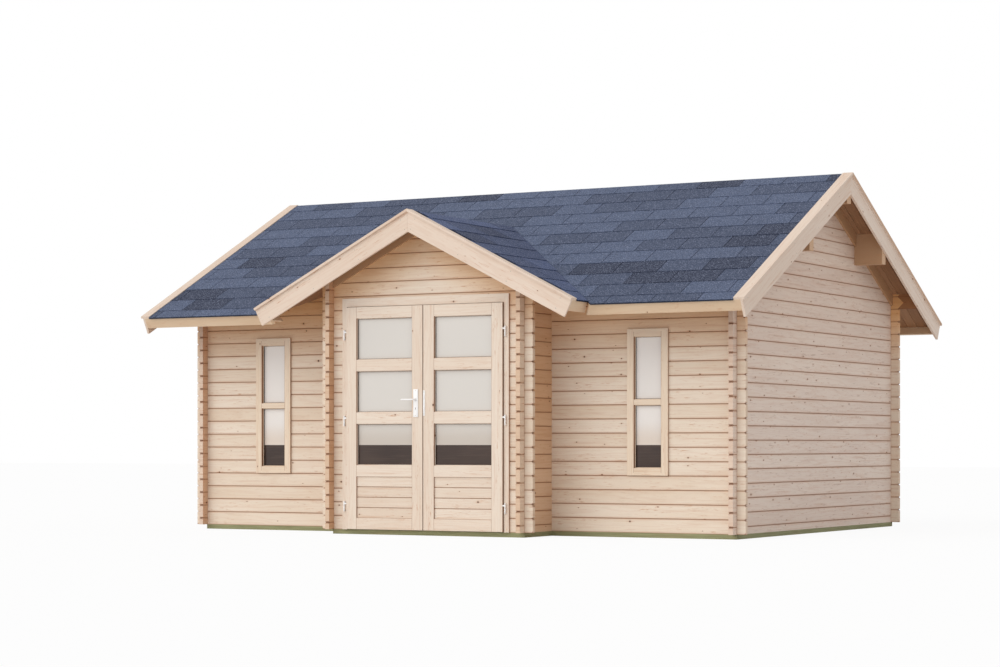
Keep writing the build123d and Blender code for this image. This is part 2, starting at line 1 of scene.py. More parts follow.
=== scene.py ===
import json
import math

import bmesh
import bpy
from mathutils import Matrix, Vector

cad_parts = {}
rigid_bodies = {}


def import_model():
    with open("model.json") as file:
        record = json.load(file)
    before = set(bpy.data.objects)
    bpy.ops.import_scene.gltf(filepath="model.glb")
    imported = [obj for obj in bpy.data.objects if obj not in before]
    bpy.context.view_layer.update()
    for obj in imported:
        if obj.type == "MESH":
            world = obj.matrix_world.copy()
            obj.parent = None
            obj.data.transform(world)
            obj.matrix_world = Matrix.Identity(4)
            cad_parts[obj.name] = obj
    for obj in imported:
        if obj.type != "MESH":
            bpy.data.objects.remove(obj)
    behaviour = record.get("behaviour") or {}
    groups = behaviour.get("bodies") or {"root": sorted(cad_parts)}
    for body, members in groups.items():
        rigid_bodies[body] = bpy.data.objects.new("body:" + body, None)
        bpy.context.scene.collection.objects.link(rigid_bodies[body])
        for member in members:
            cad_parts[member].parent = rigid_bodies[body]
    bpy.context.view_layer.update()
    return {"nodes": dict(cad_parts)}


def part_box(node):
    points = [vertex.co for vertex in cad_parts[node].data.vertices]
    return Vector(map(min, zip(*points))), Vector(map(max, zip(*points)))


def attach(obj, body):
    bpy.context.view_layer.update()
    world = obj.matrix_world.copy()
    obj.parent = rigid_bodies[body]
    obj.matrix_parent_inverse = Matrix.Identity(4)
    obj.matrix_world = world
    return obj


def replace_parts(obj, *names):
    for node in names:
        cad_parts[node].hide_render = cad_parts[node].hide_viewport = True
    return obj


# Log cabin with a front bay. Metres, +X to the right along the front, +Y to the back, +Z up.
# The origin is the middle of the footprint at the underside of the bearers.

# Log walls
log_height = 0.118
log_thick = 0.040
log_overhang = 0.078
wall_courses = 18
wall_bottom = 0.040
main_front_y = -1.72134
half_length = 2.653
half_depth = 1.835
bay_projection = 0.485
half_bay = 0.958
bay_wall_height = 2.170

# Roof
roof_pitch = math.radians(27)
gable_overhang = 0.265
eave_length = 0.600
bay_eave_length = 0.648
fascia_thick = 0.020
bargeboard_thick = 0.020
bargeboard_height = 0.150
cap_lip = 0.018
cap_over_shingles = 0.057
cap_edge_line = 0.0035

# Screws in the bargeboards, the heads and their sockets each (radius, height). The sockets are dark cones
# in the heads, painted shade of the recess.
board_screw = (0.0042, 0.0012)
board_screw_socket = (0.0017, 0.0016)
board_screw_rows = 0.090
board_screw_spacing = 0.5515
bay_board_screw_spacing = 0.5135
first_board_screw = 0.10

# Roof boards
main_boards = 60
bay_boards = 26
main_board_length = 2.65
bay_board_length = 1.75
board_width = 0.0973
board_thick = 0.020
board_play = 0.0002
board_groove_width = 0.006
board_groove_depth = 0.005

# Shingles
main_tabs = 17
bay_tabs = 9
shingle_courses = 13
course_height = 0.2378
tab_width = 0.4108
tab_slot = 0.006
tab_thick = 0.004
tab_lap = 0.020
tab_kick = 0.0045
first_course = 0.470
tab_start_x = 2.9912
cover_lift = 0.028
shingle_drip = 0.015
back_drip_inset = 0.005

# Door leaves
leaf_inner_x = 0.004
leaf_width = 0.765
leaf_height = 1.905
leaf_floor_gap = 0.005
stile_width = 0.104
rail_height = 0.097
casing_thick = 0.018
leaf_step = 0.018
glass_set_back = 0.027
glass_thick = 0.004
# Height of the horizon in the reflection painted on the glass
reflected_horizon_z = 0.767

# Windows
window_middles = (-1.878, 1.859)
window_width = 0.329
window_height = 1.170
window_foot = 0.496
window_frame_face = 0.040
window_bar_height = 0.045
window_set_back = 0.018

# Beads and seals of the glass
bead_width = 0.006
bead_depth = 0.010
bead_slope = 0.003
seal_width = 0.0018
seal_step = 0.001

# Door furniture, with the hinges' heights at their lower ends
hinge_from_leaf = 0.024
hinge_behind_face = 0.004
hinge_radius = 0.006
hinge_length = 0.088
hinge_lug = 0.013
hinge_bolt = 0.062
hinge_bolt_half = 0.003
hinge_gap = 0.0004
hinge_heights = (0.195, 0.930, 1.668)
soft_edge = 0.0012
lever_z = 1.152
keyhole_z = 1.075
plate_screw_radius = 0.0034
plate_screw_height = 0.0014

# Worked out
wall_top = wall_bottom + wall_courses * log_height
bay_wall_top = wall_bottom + bay_wall_height
main_back_y = main_front_y + 2 * half_depth
ridge_y = main_front_y + half_depth
bay_front_y = main_front_y - bay_projection
rise = math.tan(roof_pitch)
sine = math.sin(roof_pitch)
cosine = math.cos(roof_pitch)
valley_apex_y = main_front_y + half_bay + (bay_wall_top - wall_top) / rise
gable_end_x = half_length + gable_overhang
bay_gable_end_y = bay_front_y - gable_overhang
bargeboard_x = gable_end_x + bargeboard_thick
bay_bargeboard_y = bay_gable_end_y - bargeboard_thick
cap_edge_x = bargeboard_x + cap_lip - cap_edge_line
cover_end_x = gable_end_x - cap_over_shingles
bay_cover_end_y = bay_gable_end_y + cap_over_shingles
frame_face_y = bay_front_y - casing_thick
leaf_front_y = frame_face_y - leaf_step
leaf_bottom = wall_bottom + leaf_floor_gap
leaf_outer_x = leaf_inner_x + leaf_width
field_inner_x = leaf_inner_x + stile_width
field_outer_x = leaf_outer_x - stile_width
field_height = (leaf_height - 5 * rail_height) / 4
panel_bottom = leaf_bottom + rail_height
panel_board_height = field_height / 4
door_glass_y = (leaf_front_y + glass_set_back, leaf_front_y + glass_set_back + glass_thick)
window_glass_y = (main_front_y + window_set_back, main_front_y + window_set_back + glass_thick)
window_glass_half = window_width / 2 - window_frame_face
window_glass_bottom = wall_bottom + window_foot + window_frame_face
window_glass_top = wall_bottom + window_foot + window_height - window_frame_face
hinge_x = leaf_outer_x + hinge_from_leaf
hinge_y = leaf_front_y + hinge_behind_face

# Camera and light
camera_place = (10.3742, -19.5079, 0.7669)
camera_turn = 29.144
camera_lens = 85.73
camera_shift = 0.1115
sky_level = 0.66
sun_level = 1.35
sun_spread = 1.1


def colour(red, green, blue):
    """A colour written as it looks on screen, from 0 to 255."""
    def linear(value):
        value = value / 255
        return value / 12.92 if value <= 0.04045 else ((value + 0.055) / 1.055) ** 2.4
    return (linear(red), linear(green), linear(blue), 1)


def linked(name, data):
    """A new object in the scene."""
    made = bpy.data.objects.new(name, data)
    bpy.context.scene.collection.objects.link(made)
    return made


def plain_mesh(holder):
    """The mesh that an object's modifiers or curve make. The object is removed."""
    mesh = bpy.data.meshes.new_from_object(holder.evaluated_get(bpy.context.evaluated_depsgraph_get()))
    bpy.data.objects.remove(holder)
    return mesh


class Signal:
    """An output of a node that can be used in sums."""

    def __init__(self, tree, socket):
        self.tree = tree
        self.socket = socket

    def maths(self, operation, *values):
        return self.tree.add("ShaderNodeMath", {"operation": operation}, dict(enumerate(values)))

    def __abs__(self):
        return self.maths("ABSOLUTE", self)

    def floor(self):
        return self.maths("FLOOR", self)

    def modulo(self, other):
        return self.maths("FLOORED_MODULO", self, other)

    def sine(self):
        return self.maths("SINE", self)

    def root(self):
        return self.maths("SQRT", self)

    def fade(self, start, end):
        """0 at start and 1 at end, with a soft curve between."""
        inputs = {"Value": self, "From Min": start, "From Max": end}
        return self.tree.add("ShaderNodeMapRange", {"interpolation_type": "SMOOTHSTEP"}, inputs)

    def least(self, other):
        return self.maths("MINIMUM", self, other)

    def choose(self, when_one, when_zero):
        """A number by a mask."""
        return when_zero + self * (when_one - when_zero)


def pair_method(operation, swapped=False):
    """A method that puts a signal and another value through a maths node."""
    def method(self, other):
        pair = (other, self) if swapped else (self, other)
        return self.maths(operation, *pair)
    return method


for sign, operation in (("add", "ADD"), ("sub", "SUBTRACT"), ("mul", "MULTIPLY")):
    setattr(Signal, "__" + sign + "__", pair_method(operation))
    setattr(Signal, "__r" + sign + "__", pair_method(operation, True))
for sign, operation in (("truediv", "DIVIDE"), ("gt", "GREATER_THAN"), ("lt", "LESS_THAN")):
    setattr(Signal, "__" + sign + "__", pair_method(operation))


class Tree:
    """A tree of nodes, of a material, of the world or of a shape that repeats."""

    def __init__(self, tree, material=None):
        self.tree = tree
        self.material = material
        self.tree.nodes.clear()

    def node(self, kind, settings=None, inputs=None):
        made = self.tree.nodes.new(kind)
        for name, value in (settings or {}).items():
            setattr(made, name, value)
        for key, value in (inputs or {}).items():
            socket = made.inputs[key] if isinstance(key, int) else self.named(made.inputs, key)
            if isinstance(value, Signal):
                self.tree.links.new(value.socket, socket)
            else:
                socket.default_value = value
        return made

    def named(self, sockets, name):
        return [socket for socket in sockets if socket.name == name and socket.enabled][0]

    def add(self, kind, settings=None, inputs=None, output=None):
        made = self.node(kind, settings, inputs)
        if output:
            return Signal(self, self.named(made.outputs, output))
        return Signal(self, [socket for socket in made.outputs if socket.enabled][0])

    def parts(self, vector):
        """The three numbers of a vector."""
        split = self.node("ShaderNodeSeparateXYZ", None, {"Vector": vector})
        return [Signal(self, socket) for socket in split.outputs]

    def vector(self, x, y, z=0.0):
        return self.add("ShaderNodeCombineXYZ", None, {"X": x, "Y": y, "Z": z})

    def facing(self):
        """Which way the surface faces on the piece itself."""
        return self.parts(self.add("ShaderNodeTexCoord", None, None, "Normal"))

    def noise(self, vector, scale=1.0, detail=2.0, roughness=0.5):
        inputs = {"Vector": vector, "Scale": scale, "Detail": detail, "Roughness": roughness}
        return self.add("ShaderNodeTexNoise", None, inputs, "Fac")

    def random(self, number):
        return self.add("ShaderNodeTexWhiteNoise", {"noise_dimensions": "1D"}, {"W": number}, "Value")

    def mix(self, factor, first, second, blend="MIX"):
        """A colour between two."""
        settings = {"data_type": "RGBA", "blend_type": blend}
        made = self.node("ShaderNodeMix", settings, {0: factor, 6: first, 7: second})
        return Signal(self, made.outputs[2])

    def tinted(self, amount, base, brown):
        """The base, by an amount multiplied with a brown, for painted shade."""
        return self.mix(amount, base, self.mix(1.0, brown, base, "MULTIPLY"))

    def tone(self):
        """The number that was stored with each piece of a repeating shape."""
        return self.add("ShaderNodeAttribute", {"attribute_name": "tone"}, None, "Fac")

    def surface(self, inputs, height=None, bump=0.3, distance=0.002):
        """The finish itself, with its relief."""
        if height:
            relief = {"Height": height, "Strength": bump, "Distance": distance}
            inputs["Normal"] = self.add("ShaderNodeBump", None, relief)
        finish = self.add("ShaderNodeBsdfPrincipled", None, inputs)
        self.node("ShaderNodeOutputMaterial", None, {"Surface": finish})
        return self.material


def new_finish(name):
    """The tree of a new material, and the three object coordinates in it."""
    material = bpy.data.materials.new(name)
    material.use_nodes = True
    tree = Tree(material.node_tree, material)
    return tree, tree.parts(tree.add("ShaderNodeTexCoord", None, None, "Object"))


# Wood

spruce_pale = colour(237, 224, 208)
spruce_warm = colour(222, 202, 179)
spruce_red = colour(198, 148, 112)
knot_brown = colour(74, 45, 34)
joinery_pale = colour(236, 223, 208)
joinery_warm = colour(226, 208, 190)
window_pale = colour(238, 221, 200)
window_warm = colour(227, 206, 181)
# Brown of the joints and stains, also the painted shade at the log ends' corners and crossings
joint_and_shade_brown = colour(146, 98, 66)
# Painted shade browns, multiplied into the logs under the roofs, in the bay's recess and on the gables
eave_shade_brown = colour(255, 207, 140)
recess_shade_brown = colour(238, 207, 178)
gable_shade_brown = colour(226, 205, 187)
# Painted shade on the faces of the joinery that look sideways
side_shade_brown = colour(150, 104, 72)
# Painted shade brown on the rake trims, beam sides, verge cap edges, seals and keyhole
painted_shade_brown = colour(190, 144, 104)
trim_pale = colour(234, 217, 202)
trim_warm = colour(220, 199, 180)
gable_pale = colour(240, 226, 213)
gable_warm = colour(225, 208, 196)
# Darker copies of the spruce for the beams and roof boards, painted shade under the roof
beam_pale = colour(196, 162, 130)
beam_warm = colour(166, 128, 95)
under_roof_pale = colour(168, 128, 96)
under_roof_warm = colour(138, 99, 70)
fascia_pale = colour(232, 210, 184)
fascia_warm = colour(214, 186, 154)
panel_warm = colour(222, 203, 184)
floor_pale = colour(228, 204, 174)
floor_warm = colour(206, 174, 140)
floor_board_width = 0.096


def spruce(tree, along, across, board, knots=0.5, cell=(2.6, 9.5), pale=spruce_pale, warm=spruce_warm):
    """Colour and relief of planed spruce, its grain in one direction. Each board has its own number.

    Knots are the share of cells that hold one, with cells a metre along and across the grain.
    """
    shift = tree.random(board) * 9
    tone = tree.random(board + 0.37)
    run = along + shift
    fine = tree.noise(tree.vector(run * 3, across * 160, board), 1, 3, 0.6)
    slow = tree.noise(tree.vector(run * 0.8, across * 9, board), 1, 2)
    rings = ((slow * 44 + across * 130).sine() * 0.5 + 0.5).fade(0.45, 1.0)
    streak = tree.noise(tree.vector(run * 1.6, across * 34, board + 4.1), 1, 3, 0.6).fade(0.54, 0.72)
    fleck = tree.noise(tree.vector(run * 11, across * 95, board + 2.6), 1, 3, 0.7).fade(0.57, 0.72)
    cloud = tree.noise(tree.vector(run * 1.1, across * 5, board + 8.3), 1, 2).fade(0.35, 0.7)
    base = tree.mix(tone * 0.50 + cloud * 0.30, pale, warm)
    base = tree.mix(rings * 0.10, base, spruce_red)
    patch = tree.noise(tree.vector(run * 0.9, across * 7, board + 6.2), 1, 2).fade(0.42, 0.62)
    base = tree.mix(streak * 0.26 + fleck * (0.24 + patch * 0.50), base, spruce_red)
    base = tree.mix(fine * 0.14, base, warm)
    grid = tree.vector(run * cell[0], across * cell[1] + board * 3.7)
    settings = {"voronoi_dimensions": "2D", "feature": "F1"}
    cells = tree.node("ShaderNodeTexVoronoi", settings, {"Vector": grid, "Scale": 1.0, "Randomness": 0.9})
    chance, size, depth = tree.parts(Signal(tree, cells.outputs["Color"]))
    there = tree.parts(Signal(tree, cells.outputs["Position"]))
    here = tree.parts(grid)
    away_x = (there[0] - here[0]) * (0.8 / cell[0])
    away_y = (there[1] - here[1]) / cell[1]
    away = (away_x * away_x + away_y * away_y).root()
    radius = 0.0024 + size * size * 0.0052
    real = chance < knots
    knot = (away / radius).fade(1.2, 0.75) * real
    ring = (away / radius).fade(2.6, 1.0) * real
    lengthened = ((away_x * 0.22) * (away_x * 0.22) + away_y * away_y).root()
    tail = (lengthened / radius).fade(1.5, 0.4) * real
    base = tree.mix(ring * 0.25 + tail * 0.28, base, spruce_red)
    base = tree.mix(knot * (0.72 + depth * 0.28), base, knot_brown)
    height = fine * 0.5 + rings * 0.3 - knot * 0.6
    return base, height


def in_courses(place, size):
    """Number of a course or board, the share of it that is passed, and the distance to the next joint."""
    number = place.floor()
    inside = place - number
    return number, inside, abs(inside - (inside > 0.5)) * size


def end_grain(tree, base, facing, u, v):
    """Growth rings on the ends of logs and boards."""
    wobble = tree.noise(tree.vector(u * 30, v * 30), 1, 2) * 0.012
    rings = ((u * u + v * v).root() + wobble) * 1500
    ends = tree.mix(rings.sine() * 0.5 + 0.5, colour(222, 190, 158), colour(198, 158, 124))
    return tree.mix(facing, base, ends)


def finish_wood(tree, base, height, roughness=0.62, bump=0.25):
    inputs = {"Base Color": base, "Roughness": roughness, "Specular IOR Level": 0.25}
    return tree.surface(inputs, height, bump, 0.0015)


def log_wood(name, phase, along_x, corners, painted_shade_at, brown, pale=spruce_pale, warm=spruce_warm,
             knots=0.5):
    """Stacked logs with a brown joint between each two. Painted shade, a brown multiplied in by a mask,
    darkens them close under a roof and in recesses.

    Corners are the middle of the wall and the reach of the crossing wall from it. Knots also bring stain.
    """
    tree, (x, y, z) = new_finish(name)
    along, depth = (x, y) if along_x else (y, x)
    middle, crossing = corners
    number, inside, gap = in_courses((z - wall_bottom) / log_height - phase, log_height)
    wall = (depth * 1.7 + 0.3).floor()
    board = number + wall * 31 + phase * 57
    base, height = spruce(tree, along, inside * log_height, board, knots, pale=pale, warm=warm)
    stain = tree.noise(tree.vector(along * 5 + board * 3, inside * 5.5, board + 1.7), 1, 3, 0.75)
    base = tree.mix(stain.fade(0.56, 0.74) * (knots - 0.4), base, joint_and_shade_brown)
    normal = tree.facing()
    ends = abs(normal[0] if along_x else normal[1]) > 0.85
    base = end_grain(tree, base, ends * 0.35, depth.modulo(log_thick * 1.3), inside * log_height - 0.07)
    reach = abs(along - middle)
    stub = (reach > crossing + 0.002) * (1 - ends)
    # Painted shade: a brown multiplied in by the mask, under the roofs, in the recess and on the gables
    base = tree.tinted(painted_shade_at(x, y, z), base, brown)
    # Painted shade on the stubs' faces that look in towards the middle
    if not along_x:
        shaded_inward_faces = (normal[0] * x < -0.5) * stub
        base = tree.tinted(shaded_inward_faces * 0.85, base, recess_shade_brown)
    # Painted shade in a soft reddish band beside each joint; the dark joint line follows
    base = tree.mix(gap.fade(0.022, 0.003) * 0.22, base, spruce_red)
    base = tree.mix(gap.fade(0.0060, 0.0020) * 0.72, base, joint_and_shade_brown)
    # Painted shade: a dark spot where a stub's end meets a joint, for its rounded corner, and a dark line
    # where the stub leaves the crossing wall
    corner = crossing + log_overhang - reach + gap
    base = tree.mix(corner.fade(0.016, 0.008) * stub * 0.85, base, joint_and_shade_brown)
    base = tree.mix((reach - crossing).fade(0.007, 0.001) * stub * 0.75, base, joint_and_shade_brown)
    return finish_wood(tree, base, height)


def under_eaves(x, y, z):
    """Painted shade close under the main roof's boards, and not on the bay's front."""
    return z.fade(wall_top - 0.75, wall_top - 0.04) * (y < bay_front_y + 0.1).choose(0.0, 1.0) * 0.85


def under_bay_roof(x, y, z):
    """Painted shade, more nearer to the roof boards of the bay, on its gable and on the logs beside the
    doorway.
    """
    lift = bay_wall_top + (half_bay - abs(x)) * rise - z
    return lift.fade(0.60, 0.03) * 0.72


def side_of_bay(x, y, z):
    """Painted shade in the recess between the bay and the main wall, more than on the log ends in front."""
    recess = z.fade(0.2, 2.0) * 0.45 + 0.75
    return (y > bay_front_y - 0.002).choose(recess, 0.30)


def on_gable(x, y, z):
    """Painted shade on the gables, more close under the roof boards and higher up, and a little everywhere.
    """
    lift = wall_top + (half_depth - abs(y - ridge_y)) * rise - z
    return lift.fade(0.32, 0.0) * 0.35 + z.fade(0.6, 2.6) * 0.35 + 0.08


def slope_places(across_bay, x, y, z):
    """Distances up the slope, square to it and along the eave, on either side of a ridge."""
    side = abs(x) if across_bay else abs(y - ridge_y)
    up = z * sine - side * cosine
    out = z * cosine + side * sine
    return up, out, y if across_bay else x


def sloping_board(name, across_bay, pale, warm, number=0.0, shade=0.0):
    """Boards whose grain runs up the roof, each side and strip of its own tone. A shade amount mixes in
    painted shade, and the main verge caps' outer edges behind the ridge get painted shade too.
    """
    tree, (x, y, z) = new_finish(name)
    up, out, eave = slope_places(across_bay, x, y, z)
    side = ((x if across_bay else y - ridge_y) > 0) * 3
    end = (eave > 0) * 7
    base, height = spruce(tree, up, out + eave, side + end + number, 0.5, (2.4, 8.0), pale, warm)
    if shade:
        base = tree.mix(shade, base, painted_shade_brown)
    # Painted shade on the outer edges of the main verge caps behind the ridge
    if not across_bay:
        base = tree.mix((abs(x) > cap_edge_x) * (y > ridge_y) * 0.6, base, painted_shade_brown)
    return finish_wood(tree, base, height)


def roof_boards_wood(name, across_bay):
    """Tongued boards under the shingles, told apart by the tone that each was given. Their darker colours
    are painted shade under the roof.
    """
    tree, place = new_finish(name)
    up, _, eave = slope_places(across_bay, *place)
    board = tree.tone() * 97
    base, height = spruce(tree, up, eave, board, 0.3, (1.6, 9.0), under_roof_pale, under_roof_warm)
    return finish_wood(tree, base, height)


def beam_wood(name, along_x):
    """A square beam along X or Y, in darker colours with browner sides, painted shade under the roof."""
    tree, (x, y, z) = new_finish(name)
    along, across = (x, y) if along_x else (y, x)
    base, height = spruce(tree, along, across + z, 3.0, 0.3, (1.8, 7.0), beam_pale, beam_warm)
    normal = tree.facing()
    # Painted shade: the sides browner than the ends
    facing = (abs(normal[0] if along_x else normal[1]) > 0.85) * 0.7
    base = tree.mix((1 - facing) * 0.25, base, painted_shade_brown)
    base = end_grain(tree, base, facing, across.modulo(0.3), z.modulo(0.21))
    return finish_wood(tree, base, height)


def fascia_wood():
    """Eave boards, along X on the main roof and along Y on the bay."""
    tree, (x, y, z) = new_finish("fascia_wood")
    on_bay = (abs(x) < half_bay + bay_eave_length * cosine + 0.035) * (y < 0)
    along = on_bay.choose(y, x)
    across = on_bay.choose(x, y) + z
    number = on_bay * 5 + (x > 0) * 2
    base, height = spruce(tree, along, across, number, 0.3, (1.7, 8.0), fascia_pale, fascia_warm)
    return finish_wood(tree, base, height)


def joinery_wood(name, stile_mask, seam=None, painted_side_shade=0.0, pale=joinery_pale, warm=joinery_warm):
    """Planed joinery with upright stiles and level rails, and painted shade on the faces that look
    sideways. The mask gives 1 on the stiles from x and z.
    """
    tree, (x, y, z) = new_finish(name)
    stiles = stile_mask(x, z)
    along = stiles.choose(z, x)
    across = stiles.choose(x, z) + y
    number = stiles.choose((x * 9.3).floor(), (z * 2.4 + 0.2).floor() + 40)
    base, height = spruce(tree, along, across, number, 0.25, (1.9, 8.0), pale, warm)
    if seam:
        line = seam(x, z)
        base = tree.mix(line * 0.6, base, joint_and_shade_brown)
        height = height - line
    normal = tree.facing()
    # Painted shade on the faces that look sideways
    base = tree.mix((abs(normal[0]) > 0.85) * painted_side_shade, base, side_shade_brown)
    return finish_wood(tree, base, height, 0.55, 0.2)


def leaf_stiles(x, z, inset=0.0):
    """What stands beside the fields of the leaves, whose edges are moved in by an inset."""
    reach = abs(x)
    return 1 - (reach > field_inner_x + inset) * (reach < field_outer_x - inset)


def bead_uprights(x, z):
    return leaf_stiles(x, z, bead_width)


def leaf_seams(x, z):
    """The joints between the rails and the stiles."""
    reach = abs(x)
    return abs(reach - field_inner_x).least(abs(reach - field_outer_x)).fade(0.0028, 0.0008)


def door_frame_jambs(x, z):
    return (abs(x) > leaf_outer_x + 0.006) * (z < leaf_bottom + leaf_height + 0.05)


def from_window_middle(x):
    """Distance to the upright middle line of the window on this side."""
    return (x > 0).choose(abs(x - window_middles[1]), abs(x - window_middles[0]))


def window_stiles(x, z):
    return from_window_middle(x) > window_glass_half


def window_bead_uprights(x, z):
    return from_window_middle(x) > window_glass_half - bead_width


def window_seams(x, z):
    """The joints between the sash's stiles and its rails."""
    reveal = (z > window_glass_bottom - window_frame_face) * (z < window_glass_top + window_frame_face)
    return abs(from_window_middle(x) - window_glass_half - 0.001).fade(0.0026, 0.0008) * reveal


def panel_wood():
    """The level boards at the foot of the door leaves."""
    tree, (x, y, z) = new_finish("door_panel_wood")
    number, _, gap = in_courses((z - panel_bottom) / panel_board_height, panel_board_height)
    board = number + (x > 0) * 11
    base, height = spruce(tree, x, z + y, board, 0.32, (2.0, 8.0), joinery_pale, panel_warm)
    line = gap.fade(0.0050, 0.0015)
    base = tree.mix(line * 0.7, base, joint_and_shade_brown)
    return finish_wood(tree, base, height - line, 0.55, 0.2)


def floor_wood():
    """Floor boards along Y with a dark joint between each two."""
    tree, (x, y, _) = new_finish("floor_board_wood")
    number, inside, gap = in_courses(x / floor_board_width, floor_board_width)
    across = inside * floor_board_width
    base, height = spruce(tree, y, across, number, 0.3, (1.6, 9.0), floor_pale, floor_warm)
    base = tree.mix(gap.fade(0.0030, 0.0010) * 0.85, base, joint_and_shade_brown)
    return finish_wood(tree, base, height - gap.fade(0.004, 0.001) * 2)


def treated_wood():
    """Green pressure treated bearers."""
    tree, (x, y, z) = new_finish("treated_bearer_wood")
    normal = tree.facing()
    along = (abs(normal[0]) > 0.7).choose(y, x)
    grain = tree.noise(tree.vector(along * 3, z * 130, x + y), 1, 4, 0.65)
    cloud = tree.noise(tree.vector(along * 1.6, z * 12, 2.0), 1, 3)
    base = tree.mix(grain.fade(0.3, 0.75), colour(156, 158, 120), colour(128, 126, 92))
    base = tree.mix(cloud.fade(0.45, 0.75) * 0.5, base, colour(164, 150, 116))
    return finish_wood(tree, base, grain, 0.75)


# Shingles, glass and metal

def shingle_finish(name, dark_tab, light_tab):
    """Blue-grey mineral granules on bitumen, with a tone for each tab."""
    tree, (x, y, z) = new_finish(name)
    tone = tree.tone()
    spot = tree.vector(x, y, z)
    grains = tree.noise(spot, 75, 4, 0.85)
    crumbs = tree.add("ShaderNodeTexVoronoi", {"feature": "F1"}, {"Vector": spot, "Scale": 170.0}, "Color")
    light, dark = tree.parts(crumbs)[:2]
    patches = tree.noise(spot, 5, 3)
    base = tree.mix(tone, dark_tab, light_tab)
    base = tree.mix(patches.fade(0.4, 0.7) * 0.15, base, dark_tab)
    base = tree.mix(grains.fade(0.52, 0.68) * 0.55, base, colour(122, 132, 158))
    base = tree.mix(grains.fade(0.46, 0.32) * 0.60, base, colour(40, 46, 66))
    base = tree.mix((light > 0.84) * 0.50, base, colour(146, 154, 178))
    base = tree.mix((dark > 0.78) * 0.50, base, colour(34, 40, 58))
    height = grains + light * 0.4
    inputs = {"Base Color": base, "Roughness": 0.86, "Specular IOR Level": 0.3}
    return tree.surface(inputs, height, 0.6, 0.0012)


def shingle_sheet_finish():
    """The sheet under the tabs, seen in the slots and at the drip edge."""
    tree, (x, y, z) = new_finish("shingle_underlay")
    grains = tree.noise(tree.vector(x, y, z), 160, 3, 0.7)
    base = tree.mix(grains.fade(0.4, 0.65), colour(34, 38, 50), colour(62, 70, 90))
    inputs = {"Base Color": base, "Roughness": 0.9, "Specular IOR Level": 0.25}
    return tree.surface(inputs, grains, 0.4, 0.001)


def glass_finish(name, pale, haze):
    """Window glass with a painted reflection of a pale room above eye height and dark ground below it."""
    tree, (x, y, z) = new_finish(name)
    wave = tree.noise(tree.vector(x * 2, z * 3, y), 1, 2)
    ripple = tree.noise(tree.vector(x * 3, z * 60, y), 1, 2)
    # Painted reflection: a pale room above the horizon, dark ground below it
    upper = tree.mix(z.fade(reflected_horizon_z + 0.22, reflected_horizon_z + 0.03), pale, haze)
    lower = tree.mix(wave.fade(0.3, 0.7), colour(66, 54, 50), colour(78, 64, 58))
    lower = tree.mix(ripple.fade(0.5, 0.7) * 0.3, lower, colour(92, 76, 68))
    base = tree.mix(z.fade(reflected_horizon_z - 0.002, reflected_horizon_z + 0.002), lower, upper)
    return tree.surface({"Base Color": base, "Roughness": 0.06, "Specular IOR Level": 0.35, "Alpha": 0.95})


def white_metal():
    """White powder coat with a fine orange peel."""
    tree, (x, y, z) = new_finish("white_powder_coat")
    peel = tree.noise(tree.vector(x, y, z), 420, 2)
    worn = tree.noise(tree.vector(x, y, z), 60, 3).fade(0.55, 0.8)
    base = tree.mix(worn * 0.25, colour(250, 250, 250), colour(236, 234, 231))
    return tree.surface({"Base Color": base, "Roughness": 0.34}, peel, 0.15, 0.0004)


def steel_finish():
    """Zinc plated screw heads."""
    tree, (x, y, z) = new_finish("zinc_plated_steel")
    dull = tree.noise(tree.vector(x, y, z), 500, 2)
    base = tree.mix(dull, colour(176, 172, 160), colour(206, 202, 190))
    return tree.surface({"Base Color": base, "Roughness": 0.38, "Metallic": 0.8}, dull, 0.1, 0.0003)


def dark_finish(name, dark, pale, roughness):
    """Dark rubber, or painted shade standing for the dark inside a hole, with a little dust. Faces that
    look up or down get a painted shade brown.
    """
    tree, (x, y, z) = new_finish(name)
    dust = tree.noise(tree.vector(x, y, z), 300, 2)
    normal = tree.facing()
    # Painted shade brown on faces that look up or down
    base = tree.mix((abs(normal[2]) > 0.8) * 0.8, tree.mix(dust, dark, pale), painted_shade_brown)
    return tree.surface({"Base Color": base, "Roughness": roughness}, dust, 0.1, 0.0003)


# Shapes that repeat

def shape_tree(name, sizes, counts=()):
    """A geometry tree with named inputs."""
    group = bpy.data.node_groups.new(name, "GeometryNodeTree")
    tree = Tree(group)
    for names, kind in ((sizes, "NodeSocketFloat"), (counts, "NodeSocketInt")):
        for input_name in names:
            group.interface.new_socket(name=input_name, in_out="INPUT", socket_type=kind)
    group.interface.new_socket(name="Geometry", in_out="OUTPUT", socket_type="NodeSocketGeometry")
    given = tree.node("NodeGroupInput")
    return tree, {socket.name: Signal(tree, socket) for socket in given.outputs if socket.name}


def finish_shape(tree, instances, material):
    solid = tree.add("GeometryNodeRealizeInstances", None, {"Geometry": instances})
    done = tree.add("GeometryNodeSetMaterial", None, {"Geometry": solid, "Material": material})
    tree.node("NodeGroupOutput", None, {"Geometry": done})


def box(tree, length, width, height, x=0.0, y=0.0, z=0.0, tilt=0.0):
    """A box, moved and tilted about its X axis."""
    cube = tree.add("GeometryNodeMeshCube", None, {"Size": tree.vector(length, width, height)}, "Mesh")
    inputs = {"Geometry": cube, "Translation": tree.vector(x, y, z), "Rotation": (tilt, 0.0, 0.0)}
    return tree.add("GeometryNodeTransform", None, inputs)


def chance(tree, number, seed):
    """A random number from 0 to 1 for each whole number."""
    settings = {"data_type": "FLOAT"}
    return tree.add("FunctionNodeRandomValue", settings, {"ID": number, "Seed": seed})


